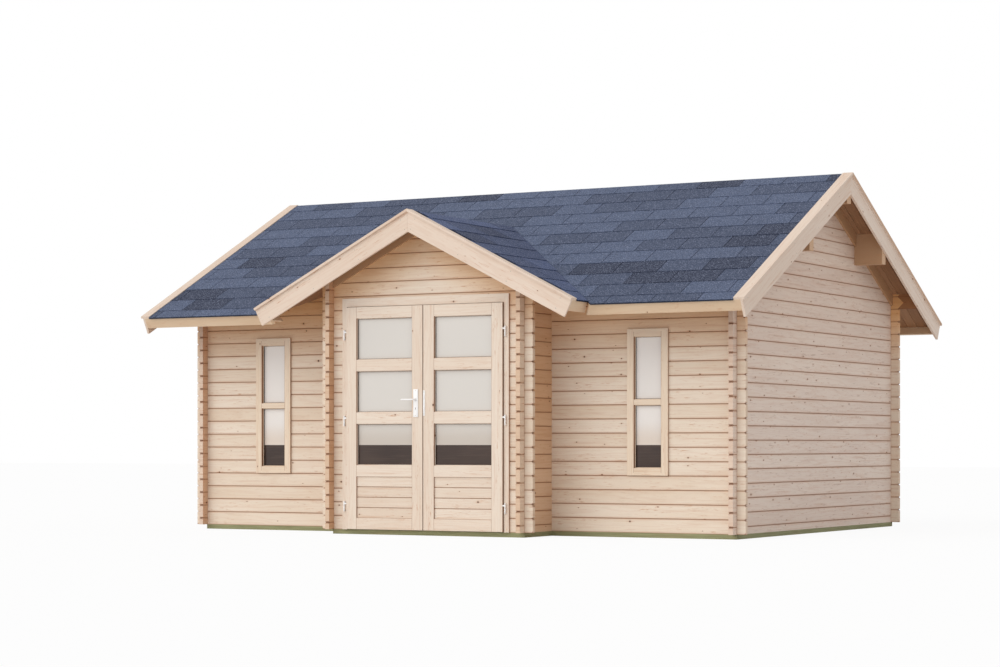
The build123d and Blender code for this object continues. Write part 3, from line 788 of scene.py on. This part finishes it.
def toned_instances(tree, points, shape, tone):
    """The shape on every point, with a tone kept for the finish."""
    placed = tree.add("GeometryNodeInstanceOnPoints", None, {"Points": points, "Instance": shape})
    settings = {"data_type": "FLOAT", "domain": "INSTANCE"}
    return tree.add("GeometryNodeStoreNamedAttribute", settings,
                    {"Geometry": placed, "Name": "tone", "Value": tone})


def shingle_tree(material):
    """Courses of tabs, each half a tab on from the one below. X along the eave and Y up the slope."""
    sizes = ("First Course", "Course Height", "Tab Width", "Slot", "Tab Thickness", "Lap", "Kick", "Start",
             "Lift")
    tree, given = shape_tree("shingle_courses", sizes, ("Tabs", "Courses", "Seed"))
    index = tree.add("GeometryNodeInputIndex")
    tabs = given["Tabs"]
    course = (index / tabs).floor()
    tab = index - course * tabs
    half = course.modulo(2) * 0.5
    x = given["Start"] + (tab + half) * given["Tab Width"]
    y = given["First Course"] + (course - 0.5) * given["Course Height"]
    spots = {"Count": tabs * given["Courses"], "Position": tree.vector(x, y, given["Lift"])}
    points = tree.add("GeometryNodePoints", None, spots)
    length = given["Course Height"] + given["Lap"]
    lift = (given["Tab Thickness"] + given["Kick"]) / 2
    shape = box(tree, given["Tab Width"] - given["Slot"], length, given["Tab Thickness"],
                0.0, given["Lap"] / 2, lift, -tab_kick / course_height)
    pair = ((tab + course * 1.5) / 2).floor() + course * 53
    run = chance(tree, pair, given["Seed"])
    single = chance(tree, index, given["Seed"] + 5)
    tone = (run > 0.42) * 0.42 + (single > 0.25) * 0.38 + single * 0.2
    finish_shape(tree, toned_instances(tree, points, shape, tone), material)
    return tree.tree


def roof_board_tree(material):
    """Boards side by side, each a face board on a wider one, which leaves a groove at every joint."""
    sizes = ("Board Width", "Length", "Board Thickness", "Groove Width", "Groove Depth", "Start", "Foot")
    tree, given = shape_tree("tongued_boards", sizes, ("Boards", "Seed"))
    index = tree.add("GeometryNodeInputIndex")
    x = given["Start"] + (index + 0.5) * given["Board Width"]
    y = given["Foot"] + given["Length"] / 2
    points = tree.add("GeometryNodePoints", None, {"Count": given["Boards"], "Position": tree.vector(x, y)})
    deep = given["Groove Depth"]
    upper_thick = given["Board Thickness"] - deep
    upper = box(tree, given["Board Width"], given["Length"], upper_thick, z=deep + upper_thick / 2)
    lower = box(tree, given["Board Width"] - given["Groove Width"], given["Length"], deep, z=deep / 2)
    both = tree.node("GeometryNodeJoinGeometry")
    for part in (upper, lower):
        tree.tree.links.new(part.socket, both.inputs[0])
    shape = Signal(tree, both.outputs[0])
    tone = chance(tree, index, given["Seed"])
    finish_shape(tree, toned_instances(tree, points, shape, tone), material)
    return tree.tree


def grown_mesh(name, group, values):
    """The plain mesh that a geometry tree makes from its named sizes."""
    holder = linked(name, bpy.data.meshes.new(name))
    modifier = holder.modifiers.new("shape", "NODES")
    modifier.node_group = group
    for socket in group.interface.items_tree:
        if socket.in_out == "INPUT":
            modifier[socket.identifier] = values[socket.name]
    mesh = plain_mesh(holder)
    mesh.name = name
    return mesh


def trimmed(mesh, cuts):
    """Cuts the mesh by planes, each (point, direction that is cut away), and closes the cuts."""
    shape = bmesh.new()
    shape.from_mesh(mesh)
    for point, direction in cuts:
        everything = shape.verts[:] + shape.edges[:] + shape.faces[:]
        cut = bmesh.ops.bisect_plane(shape, geom=everything, plane_co=point, plane_no=direction, dist=1e-6,
                                     clear_outer=True)
        edges = [item for item in cut["geom_cut"] if isinstance(item, bmesh.types.BMEdge)]
        bmesh.ops.holes_fill(shape, edges=edges, sides=0)
    shape.to_mesh(mesh)
    shape.free()
    return mesh


def joined(name, meshes):
    """One mesh from several."""
    shape = bmesh.new()
    for mesh in meshes:
        shape.from_mesh(mesh)
    whole = meshes[0].copy()
    shape.to_mesh(whole)
    shape.free()
    whole.name = name
    return whole


def slope_matrix(eave_point, up):
    """From a flat layout, X along the eave and Y up, to a slope through a point on its foot line."""
    up_vector = Vector((up[0] * cosine, up[1] * cosine, sine))
    along = Vector((up[1], -up[0], 0))
    out = along.cross(up_vector)
    matrix = Matrix((along, up_vector, out)).transposed().to_4x4()
    matrix.translation = Vector(eave_point)
    return matrix


def laid(mesh, slope):
    """Lays a flat layout on one of the four slopes and trims it to the ridge and the valleys."""
    valley = (0, valley_apex_y, 0)
    middle = (0, 0, 0)
    ridge = (0, ridge_y, 0)
    places = {
        "front": ((0, main_front_y, wall_top), (0, 1)),
        "back": ((0, main_back_y, wall_top), (0, -1)),
        "bay_left": ((-half_bay, 0, bay_wall_top), (1, 0)),
        "bay_right": ((half_bay, 0, bay_wall_top), (-1, 0)),
    }
    mesh.transform(slope_matrix(*places[slope]))
    if slope == "back":
        return trimmed(mesh, [(ridge, (0, -1, 0))])
    if slope == "front":
        halves = []
        for side in (-1, 1):
            cuts = [(ridge, (0, 1, 0)), (middle, (-side, 0, 0)), (valley, (-side, -1, 0))]
            halves.append(trimmed(mesh.copy(), cuts))
        return joined(mesh.name, halves)
    side = 1 if slope == "bay_right" else -1
    return trimmed(mesh, [(middle, (-side, 0, 0)), (valley, (side, 1, 0))])


def piece(name, mesh, body):
    """Puts a finished mesh in the scene, on its body."""
    made = linked(name, mesh)
    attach(made, body)
    return made


def lay_shingles(main_group, bay_group):
    """Tabs on the four slopes. The courses run past the edges of the sheets and are trimmed to them."""
    eave = eave_length + shingle_drip
    bay_eave = bay_eave_length + shingle_drip
    slopes = {
        "front": (eave, -tab_start_x, main_tabs, main_group),
        "back": (eave - back_drip_inset, -tab_start_x, main_tabs, main_group),
        "bay_left": (bay_eave, -valley_apex_y - 0.3, bay_tabs, bay_group),
        "bay_right": (bay_eave, bay_cover_end_y + 0.1, bay_tabs, bay_group),
    }
    for seed, (slope, (foot, start, tabs, group)) in enumerate(slopes.items()):
        values = {
            "First Course": -first_course, "Course Height": course_height, "Tab Width": tab_width,
            "Slot": tab_slot, "Tab Thickness": tab_thick, "Lap": tab_lap, "Kick": tab_kick, "Start": start,
            "Lift": cover_lift, "Tabs": tabs, "Courses": shingle_courses, "Seed": seed + 3,
        }
        name = slope + "_shingle_tabs"
        cuts = [((0, -foot, 0), (0, -1, 0))]
        if group == main_group:
            cuts += [((-cover_end_x, 0, 0), (-1, 0, 0)), ((cover_end_x, 0, 0), (1, 0, 0))]
        mesh = laid(trimmed(grown_mesh(name, group, values), cuts), slope)
        if group == bay_group:
            mesh = trimmed(mesh, [((0, bay_cover_end_y, 0), (0, -1, 0))])
        piece(name, mesh, "cabin")


def lay_roof_boards(main_group, bay_group):
    """Boards on the four slopes, longer than these and trimmed at the ridge and the valleys."""
    foot = fascia_thick - eave_length
    bay_foot = fascia_thick - bay_eave_length
    bay_left_start = -bay_gable_end_y - bay_boards * board_width
    slopes = {
        "front": (foot, -gable_end_x, main_boards, main_board_length, main_group),
        "back": (foot, -gable_end_x, main_boards, main_board_length, main_group),
        "bay_left": (bay_foot, bay_left_start, bay_boards, bay_board_length, bay_group),
        "bay_right": (bay_foot, bay_gable_end_y, bay_boards, bay_board_length, bay_group),
    }
    for seed, (slope, (low, start, boards, length, group)) in enumerate(slopes.items()):
        values = {
            "Board Width": board_width, "Length": length, "Board Thickness": board_thick - board_play,
            "Groove Width": board_groove_width, "Groove Depth": board_groove_depth, "Start": start,
            "Foot": low, "Boards": boards, "Seed": seed + 11,
        }
        name = slope + "_tongued_boards"
        mesh = laid(grown_mesh(name, group, values), slope)
        if group == main_group:
            mesh = trimmed(mesh, [((gable_end_x, 0, 0), (1, 0, 0))])
        made = piece(name, mesh, "cabin")
        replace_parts(made, slope + "_roof_boards")


# Single shapes

def skin(shape, loops):
    """Faces between each loop of points and the next."""
    for lower, upper in zip(loops, loops[1:]):
        for number in range(len(lower)):
            beside = (number + 1) % len(lower)
            shape.faces.new((lower[number], lower[beside], upper[beside], upper[number]))


def add_ring(shape, outer, inner, y0, y1, slope_inner=0.0):
    """A mitred rectangular frame between two rectangles (x0, x1, z0, z1), from y0 to y1."""
    loops = []
    for (x0, x1, z0, z1), y in ((outer, y0), (inner, y0 + slope_inner), (inner, y1), (outer, y1)):
        corners = ((x0, z0), (x1, z0), (x1, z1), (x0, z1))
        loops.append([shape.verts.new((x, y, z)) for x, z in corners])
    skin(shape, loops + loops[:1])


def shrunk(pane, amount):
    x0, x1, z0, z1 = pane
    return (x0 + amount, x1 - amount, z0 + amount, z1 - amount)


def rings_round(name, panes, inset, width, depth, slope, glass, body, material):
    """Strips on both faces of the panes, their outer edges set in from the panes' edges."""
    front, back = glass
    shape = bmesh.new()
    for pane in panes:
        outer = shrunk(pane, inset)
        inner = shrunk(pane, inset + width)
        add_ring(shape, outer, inner, front - depth, front, slope)
        add_ring(shape, outer, inner, back + depth, back, -slope)
    shape_to_piece(name, shape, body, material)


def glazing(name, panes, glass, body, bead_wood, rubber):
    """Wooden beads round the panes and the dark seal inside them, whose dark also stands for the shade in
    the reveals.
    """
    rings_round(name + "_beads", panes, 0.0, bead_width, bead_depth, bead_slope, glass, body, bead_wood)
    rings_round(name + "_seals", panes, bead_width, seal_width, bead_depth - seal_step, 0.0, glass, body,
                rubber)


def leaf_panes(side):
    """The three glazed fields of a leaf, each (x0, x1, z0, z1)."""
    x0, x1 = sorted((side * field_inner_x, side * field_outer_x))
    panes = []
    for number in range(1, 4):
        z0 = leaf_bottom + rail_height + number * (field_height + rail_height)
        panes.append((x0, x1, z0, z0 + field_height))
    return panes


def window_panes():
    """The two panes of each window."""
    middle = (window_glass_bottom + window_glass_top) / 2
    bar = window_bar_height / 2
    panes = []
    for x in window_middles:
        for z0, z1 in ((window_glass_bottom, middle - bar), (middle + bar, window_glass_top)):
            panes.append((x - window_glass_half, x + window_glass_half, z0, z1))
    return panes


def rounded_block(shape, low, high, radius, segments=3):
    """A block with rounded edges."""
    made = bmesh.ops.create_cube(shape, size=1)
    for vert in made["verts"]:
        for axis in range(3):
            vert.co[axis] = low[axis] if vert.co[axis] < 0 else high[axis]
    edges = list({edge for vert in made["verts"] for edge in vert.link_edges})
    bmesh.ops.bevel(shape, geom=edges, offset=radius, segments=segments, affect="EDGES", profile=0.5)


def turned(shape, outline, place, facing=False, sides=28):
    """A turned part from (radius, height) points, upright, or facing out of the door."""
    loops = []
    for radius, height in outline:
        loop = []
        for number in range(sides):
            angle = 2 * math.pi * number / sides
            across = radius * math.cos(angle)
            deep = radius * math.sin(angle)
            offset = (across, -height, deep) if facing else (across, deep, height)
            loop.append(shape.verts.new(Vector(place) + Vector(offset)))
        loops.append(loop)
    skin(shape, loops)
    shape.faces.new(loops[0])
    shape.faces.new(loops[-1])


def shape_to_piece(name, shape, body, material, smooth=False):
    bmesh.ops.recalc_face_normals(shape, faces=shape.faces)
    mesh = bpy.data.meshes.new(name)
    shape.to_mesh(mesh)
    shape.free()
    mesh.materials.append(material)
    if smooth:
        for polygon in mesh.polygons:
            polygon.use_smooth = True
        mesh.set_sharp_from_angle(angle=math.radians(50))
    return piece(name, mesh, body)


def knuckle(shape, x, z0, z1):
    """A barrel of a hinge with its ends rounded over."""
    height = z1 - z0
    outline = ((hinge_radius - soft_edge, 0), (hinge_radius, soft_edge), (hinge_radius, height - soft_edge),
               (hinge_radius - soft_edge, height))
    turned(shape, outline, (x, hinge_y, z0))


def lug(shape, x, z0):
    """An end of a hinge, cranked back onto the jamb."""
    low = (x - hinge_radius, hinge_y, z0)
    high = (x + hinge_radius, frame_face_y, z0 + hinge_lug)
    rounded_block(shape, low, high, soft_edge)


def hinge_halves(white):
    """Three hinges to a leaf. The jamb has the lower barrel and both ends, the leaf the barrel between."""
    on_frame = bmesh.new()
    for side, body in ((-1, "left_door"), (1, "right_door")):
        on_leaf = bmesh.new()
        x = side * hinge_x
        for z in hinge_heights:
            middle = z + hinge_length / 2
            top = z + hinge_length
            knuckle(on_frame, x, z, middle - hinge_gap)
            lug(on_frame, x, z)
            knuckle(on_frame, x, top - hinge_lug, top)
            lug(on_frame, x, top - hinge_lug)
            knuckle(on_leaf, x, middle, top - hinge_lug - hinge_gap)
            near, far = sorted((x - side * 0.004, side * leaf_outer_x))
            low = (near, hinge_y - hinge_bolt_half, z + hinge_bolt)
            high = (far, hinge_y + hinge_bolt_half, top - hinge_lug - 0.0006)
            rounded_block(on_leaf, low, high, 0.0008)
        made = shape_to_piece(body + "_hinge_barrels", on_leaf, body, white, True)
        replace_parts(made, body.split("_")[0] + "_leaf_hinge_halves")
    made = shape_to_piece("frame_hinge_barrels", on_frame, "cabin", white, True)
    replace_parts(made, "frame_hinge_halves")


def plate_screws(name, low, high, inset, body, steel):
    """A domed screw head near each end of a plate, facing out of the door."""
    radius = plate_screw_radius
    height = plate_screw_height
    outline = ((radius, 0), (radius, height * 0.35), (radius * 0.75, height * 0.8), (radius * 0.3, height))
    shape = bmesh.new()
    for z in (low[2] + inset, high[2] - inset):
        turned(shape, outline, ((low[0] + high[0]) / 2, low[1], z), True, 14)
    shape_to_piece(name, shape, body, steel, True)


def handle_set(white, steel, dark):
    """The handle plate with its collar, keyhole and lever."""
    low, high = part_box("handle_plate")
    x = (low[0] + high[0]) / 2
    front = low[1]
    plate = bmesh.new()
    rounded_block(plate, low, high, 0.0018)
    collar = ((0.0125, 0), (0.0125, 0.0035), (0.0112, 0.005), (0.0084, 0.005), (0.0084, 0.0))
    turned(plate, collar, (x, front, lever_z), True, 40)
    made = shape_to_piece("rounded_handle_plate", plate, "left_door", white, True)
    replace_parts(made, "handle_plate")
    # The keyhole is a dark plug, painted shade of the hole
    hole = bmesh.new()
    turned(hole, ((0.0034, 0), (0.0034, 0.0004)), (x, front, keyhole_z + 0.004), True, 24)
    slot_low = (x - 0.0013, front - 0.0004, keyhole_z - 0.010)
    rounded_block(hole, slot_low, (x + 0.0013, front, keyhole_z + 0.004), 0.0001, 1)
    shape_to_piece("keyhole", hole, "left_door", dark)
    plate_screws("handle_plate_screws", low, high, 0.013, "left_door", steel)
    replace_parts(lever(x, white), "door_lever")


def keep_plate(white, steel):
    """The keep plate on the other leaf, with two bosses."""
    low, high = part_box("keep_plate")
    plate = bmesh.new()
    rounded_block(plate, low, high, 0.0016)
    for z in (low[2] + 0.055, high[2] - 0.055):
        boss_low = (low[0] + 0.004, low[1] - 0.003, z - 0.022)
        rounded_block(plate, boss_low, (high[0] - 0.004, low[1] + 0.001, z + 0.022), 0.0014)
    made = shape_to_piece("bossed_keep_plate", plate, "right_door", white, True)
    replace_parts(made, "keep_plate")
    plate_screws("keep_plate_screws", low, high, 0.014, "right_door", steel)


def lever(middle, white):
    """A round bar that leaves the plate, turns through a tight bend and runs level to a domed end."""
    low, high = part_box("door_lever")
    radius = (high[2] - low[2]) / 2 - 0.001
    front = low[1] + radius + 0.0012
    tip = low[0] + 0.001
    bend = 0.012
    pull = 0.0065
    curve = bpy.data.curves.new("lever_line", "CURVE")
    curve.dimensions = "3D"
    curve.bevel_depth = radius
    curve.bevel_resolution = 6
    curve.use_fill_caps = True
    line = curve.splines.new("BEZIER")
    root = (middle, leaf_front_y - 0.0055)
    corner = ((middle, front + bend), (middle - bend, front))
    dome = ((tip + 0.012, front), (tip + 0.003, front), (tip, front))
    points = (root,) + corner + dome
    line.bezier_points.add(len(points) - 1)
    radii = (1.0, 1.0, 1.0, 0.95, 0.80, 0.45)
    for number, (spot, (x, y), thick) in enumerate(zip(line.bezier_points, points, radii)):
        spot.co = (x, y, lever_z)
        ahead = Vector((0, -pull, 0)) if number < 2 else Vector((-pull, 0, 0))
        spot.handle_left = spot.co - ahead
        spot.handle_right = spot.co + (ahead if x > tip + 0.02 else ahead * 2 / 13)
        spot.radius = thick
    for earlier, later in zip(line.bezier_points[2:], line.bezier_points[3:]):
        third = (later.co - earlier.co) / 3
        earlier.handle_right = earlier.co + third
        later.handle_left = later.co - third
    shape = bmesh.new()
    shape.from_mesh(plain_mesh(linked("lever_line", curve)))
    bmesh.ops.remove_doubles(shape, verts=shape.verts, dist=1e-6)
    return shape_to_piece("bent_lever", shape, "door_lever", white, True)


# Screws

def screw_tree(material):
    """Screw heads in rows. X runs along the board, Y across it, Z out of it."""
    sizes = ("Radius", "Height", "First", "Spacing", "Row Gap")
    tree, given = shape_tree("screw_rows", sizes, ("Rows", "Count"))
    index = tree.add("GeometryNodeInputIndex")
    place = (index / given["Rows"]).floor()
    row = index - place * given["Rows"]
    across = (row - (given["Rows"] - 1) * 0.5) * given["Row Gap"]
    spot = tree.vector(given["First"] + place * given["Spacing"], across)
    count = given["Rows"] * given["Count"]
    points = tree.add("GeometryNodePoints", None, {"Count": count, "Position": spot})
    inputs = {"Vertices": 12, "Radius Top": given["Radius"] * 0.7, "Radius Bottom": given["Radius"],
              "Depth": given["Height"]}
    head = tree.add("GeometryNodeMeshCone", None, inputs, "Mesh")
    placed = tree.add("GeometryNodeInstanceOnPoints", None, {"Points": points, "Instance": head})
    finish_shape(tree, placed, material)
    return tree.tree


def screw_rows(groups, matrices, spacing, count):
    """Rows of heads and of their dark sockets, painted shade, laid by matrices, each with the number of its
    finish.
    """
    meshes = []
    for number, (radius, height) in enumerate((board_screw, board_screw_socket)):
        values = {"Radius": radius, "Height": height, "First": first_board_screw, "Spacing": spacing,
                  "Row Gap": board_screw_rows, "Rows": 2, "Count": count}
        flat = grown_mesh("screws", groups[number], values)
        for matrix in matrices:
            mesh = flat.copy()
            mesh.transform(matrix)
            meshes.append((mesh, number))
    return meshes


def board_matrix(start, along, out):
    """From a flat layout to a board: X along it and Z out of it."""
    along = Vector(along)
    out = Vector(out)
    matrix = Matrix((along, out.cross(along), out)).transposed().to_4x4()
    matrix.translation = Vector(start)
    return matrix


def rake_places(half_span, height, eave):
    """How far out, how high and which way up the middle lines of two sloping boards start at the eave."""
    drop = bargeboard_height / 2 - board_thick
    run = half_span + eave * cosine - drop * sine
    z = height - eave * sine - drop * cosine
    return [(side * run, z, -side * cosine) for side in (-1, 1)]


def board_screws(steel, dark):
    """Two screws to each fixing in the bargeboards."""
    # The sockets take the dark finish, painted shade of their recess
    groups = (screw_tree(steel), screw_tree(dark))
    meshes = []
    for side in (-1, 1):
        rakes = [board_matrix((side * bargeboard_x, ridge_y + run, z), (0, up, sine), (side, 0, 0))
                 for run, z, up in rake_places(half_depth, wall_top, eave_length)]
        meshes += screw_rows(groups, rakes, board_screw_spacing, 5)
    bay = [board_matrix((run, bay_bargeboard_y, z), (up, 0, sine), (0, -1, 0))
           for run, z, up in rake_places(half_bay, bay_wall_top, bay_eave_length)]
    meshes += screw_rows(groups, bay, bay_board_screw_spacing, 4)
    whole = joined_with_finishes("bargeboard_screws", meshes, (steel, dark))
    piece("bargeboard_screws", whole, "cabin")


def joined_with_finishes(name, meshes, finishes):
    """One mesh from several, each (mesh, number of its finish)."""
    shape = bmesh.new()
    for mesh, number in meshes:
        before = len(shape.faces)
        shape.from_mesh(mesh)
        shape.faces.ensure_lookup_table()
        for face in shape.faces[before:]:
            face.material_index = number
    whole = bpy.data.meshes.new(name)
    shape.to_mesh(whole)
    shape.free()
    for finish in finishes:
        whole.materials.append(finish)
    return whole


# Stage

def make_camera():
    camera = linked("camera", bpy.data.cameras.new("camera"))
    camera.location = camera_place
    camera.rotation_euler = (math.radians(90), 0, math.radians(camera_turn))
    camera.data.lens = camera_lens
    camera.data.sensor_width = 36
    camera.data.shift_y = camera_shift
    camera.data.clip_end = 200
    bpy.context.scene.camera = camera


def make_light():
    sun = linked("soft_sun", bpy.data.lights.new("soft_sun", "SUN"))
    sun.data.energy = sun_level
    sun.data.angle = sun_spread
    sun.data.color = (1.0, 0.985, 0.95)
    towards = Vector((-0.42, -0.80, 0.62))
    sun.rotation_euler = towards.to_track_quat("Z", "Y").to_euler()


def make_sky():
    """White to the eye and in mirrors, and a plain pale light on the object."""
    world = bpy.data.worlds.new("studio")
    bpy.context.scene.world = world
    world.use_nodes = True
    tree = Tree(world.node_tree)
    rays = tree.node("ShaderNodeLightPath")
    names = ("Is Camera Ray", "Is Glossy Ray", "Is Transmission Ray")
    seen = [Signal(tree, rays.outputs[name]) for name in names]
    direct = (seen[0] + seen[1] + seen[2]).least(1.0)
    light = tree.add("ShaderNodeBackground", None, {"Color": (1.0, 0.985, 0.99, 1), "Strength": sky_level})
    white = tree.add("ShaderNodeBackground", None, {"Color": (1, 1, 1, 1), "Strength": 1.0})
    both = tree.node("ShaderNodeMixShader", None, {0: direct, 1: light, 2: white})
    tree.node("ShaderNodeOutputWorld", None, {"Surface": Signal(tree, both.outputs[0])})


def make_floor():
    """A pale floor that reads as white and keeps a soft shadow."""
    mesh = bpy.data.meshes.new("studio_floor")
    reach = 60
    mesh.from_pydata([(-reach, -reach, 0), (reach, -reach, 0), (reach, reach, 0), (-reach, reach, 0)], [],
                     [(0, 1, 2, 3)])
    floor = linked("studio_floor", mesh)
    tree, _ = new_finish("studio_white")
    rays = tree.node("ShaderNodeLightPath")
    matt = tree.add("ShaderNodeBsdfDiffuse", None, {"Color": (0.86, 0.86, 0.86, 1)})
    glow = tree.add("ShaderNodeEmission", None, {"Color": (1, 1, 1, 1), "Strength": 1.0})
    seen = Signal(tree, rays.outputs["Is Camera Ray"]) * 0.92
    both = tree.add("ShaderNodeMixShader", None, {0: seen, 1: matt, 2: glow})
    tree.node("ShaderNodeOutputMaterial", None, {"Surface": both})
    mesh.materials.append(tree.material)


def paint(nodes, names, material):
    for name in names:
        slots = nodes[name].data.materials
        slots.clear()
        slots.append(material)


def paint_logs(nodes):
    eave_logs = log_wood("eave_wall_logs", 0.0, True, (0.0, half_length), under_eaves, eave_shade_brown)
    bay_logs = log_wood("bay_front_logs", 0.0, True, (0.0, half_bay), under_bay_roof, eave_shade_brown)
    gable_logs = log_wood("gable_wall_logs", 0.5, False, (ridge_y, half_depth), on_gable, gable_shade_brown,
                          gable_pale, gable_warm, 0.75)
    bay_side_logs = log_wood("bay_side_logs", 0.5, False, (0.0, -bay_front_y), side_of_bay, recess_shade_brown)
    paint(nodes, ("front_wall_left", "front_wall_right", "back_wall", "front_plate_log", "back_plate_log"),
          eave_logs)
    paint(nodes, ("bay_front_left", "bay_front_right", "bay_gable"), bay_logs)
    paint(nodes, ("left_gable_wall", "right_gable_wall"), gable_logs)
    paint(nodes, ("bay_left_wall", "bay_right_wall"), bay_side_logs)


def paint_roof(nodes):
    paint(nodes, ("ridge_purlin", "front_purlin", "back_purlin"), beam_wood("purlin_wood", True))
    paint(nodes, ("bay_ridge_purlin",), beam_wood("bay_purlin_wood", False))
    for number, (part, across_bay) in enumerate((("main", False), ("bay", True))):
        verge = sloping_board(part + "_verge_wood", across_bay, trim_pale, trim_warm, 2.0 * number)
        rake = sloping_board(part + "_rake_wood", across_bay, beam_pale, beam_warm, 4.0 + number, 0.45)
        paint(nodes, (part + "_bargeboards", part + "_verge_caps"), verge)
        paint(nodes, (part + "_rake_trims",), rake)
    paint(nodes, ("eave_fascias",), fascia_wood())
    paint(nodes, ("front_shingles", "back_shingles", "bay_left_shingles", "bay_right_shingles"),
          shingle_sheet_finish())


def paint_joinery(nodes):
    leaf_wood = joinery_wood("door_leaf_wood", leaf_stiles, leaf_seams, 0.75)
    window_wood = joinery_wood("window_frame_wood", window_stiles, window_seams, 0.6, window_pale,
                               window_warm)
    # Both glasses carry a painted reflection; the window glass is paler to make up for the shade of its
    # deeper recess
    door_glass = glass_finish("door_glass", colour(223, 219, 213), colour(206, 197, 187))
    window_glass = glass_finish("window_glass", colour(243, 239, 235), colour(232, 220, 208))
    paint(nodes, ("left_door_leaf", "right_door_leaf"), leaf_wood)
    paint(nodes, ("door_frame",), joinery_wood("door_frame_wood", door_frame_jambs, painted_side_shade=0.7))
    paint(nodes, ("window_frames",), window_wood)
    paint(nodes, ("left_door_panel", "right_door_panel"), panel_wood())
    paint(nodes, ("floor_boards",), floor_wood())
    paint(nodes, ("bearers",), treated_wood())
    paint(nodes, ("left_door_glass", "right_door_glass"), door_glass)
    paint(nodes, ("window_glass",), window_glass)


def glaze(rubber):
    """Beads and seals in the door leaves and the windows."""
    bead_wood = joinery_wood("door_bead_wood", bead_uprights)
    glazing("left_door", leaf_panes(-1), door_glass_y, "left_door", bead_wood, rubber)
    glazing("right_door", leaf_panes(1), door_glass_y, "right_door", bead_wood, rubber)
    window_wood = joinery_wood("window_bead_wood", window_bead_uprights, pale=window_pale, warm=window_warm)
    glazing("window", window_panes(), window_glass_y, "cabin", window_wood, rubber)


for leftover in list(bpy.data.objects):
    bpy.data.objects.remove(leftover)
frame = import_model()
bpy.context.scene.view_settings.view_transform = "Standard"
make_camera()
make_light()
make_sky()
make_floor()
white = white_metal()
steel = steel_finish()
dark = dark_finish("keyhole_dark", colour(26, 25, 24), colour(48, 46, 43), 0.5)
rubber = dark_finish("seal_rubber", colour(40, 27, 20), colour(60, 42, 32), 0.7)
paint_logs(frame["nodes"])
paint_roof(frame["nodes"])
paint_joinery(frame["nodes"])
paint(frame["nodes"], ("frame_hinge_halves", "left_leaf_hinge_halves", "right_leaf_hinge_halves",
                       "handle_plate", "door_lever", "keep_plate"), white)
# The bay's shingles are a darker, bluer copy of the main ones, painted shade and sheen for how the light
# falls on its slopes
lay_shingles(shingle_tree(shingle_finish("shingle_granules", colour(44, 51, 71), colour(88, 100, 126))),
             shingle_tree(shingle_finish("bay_shingle_granules", colour(39, 49, 78), colour(78, 92, 129))))
lay_roof_boards(roof_board_tree(roof_boards_wood("main_roof_board_wood", False)),
                roof_board_tree(roof_boards_wood("bay_roof_board_wood", True)))
glaze(rubber)
hinge_halves(white)
handle_set(white, steel, dark)
keep_plate(white, steel)
board_screws(steel, dark)
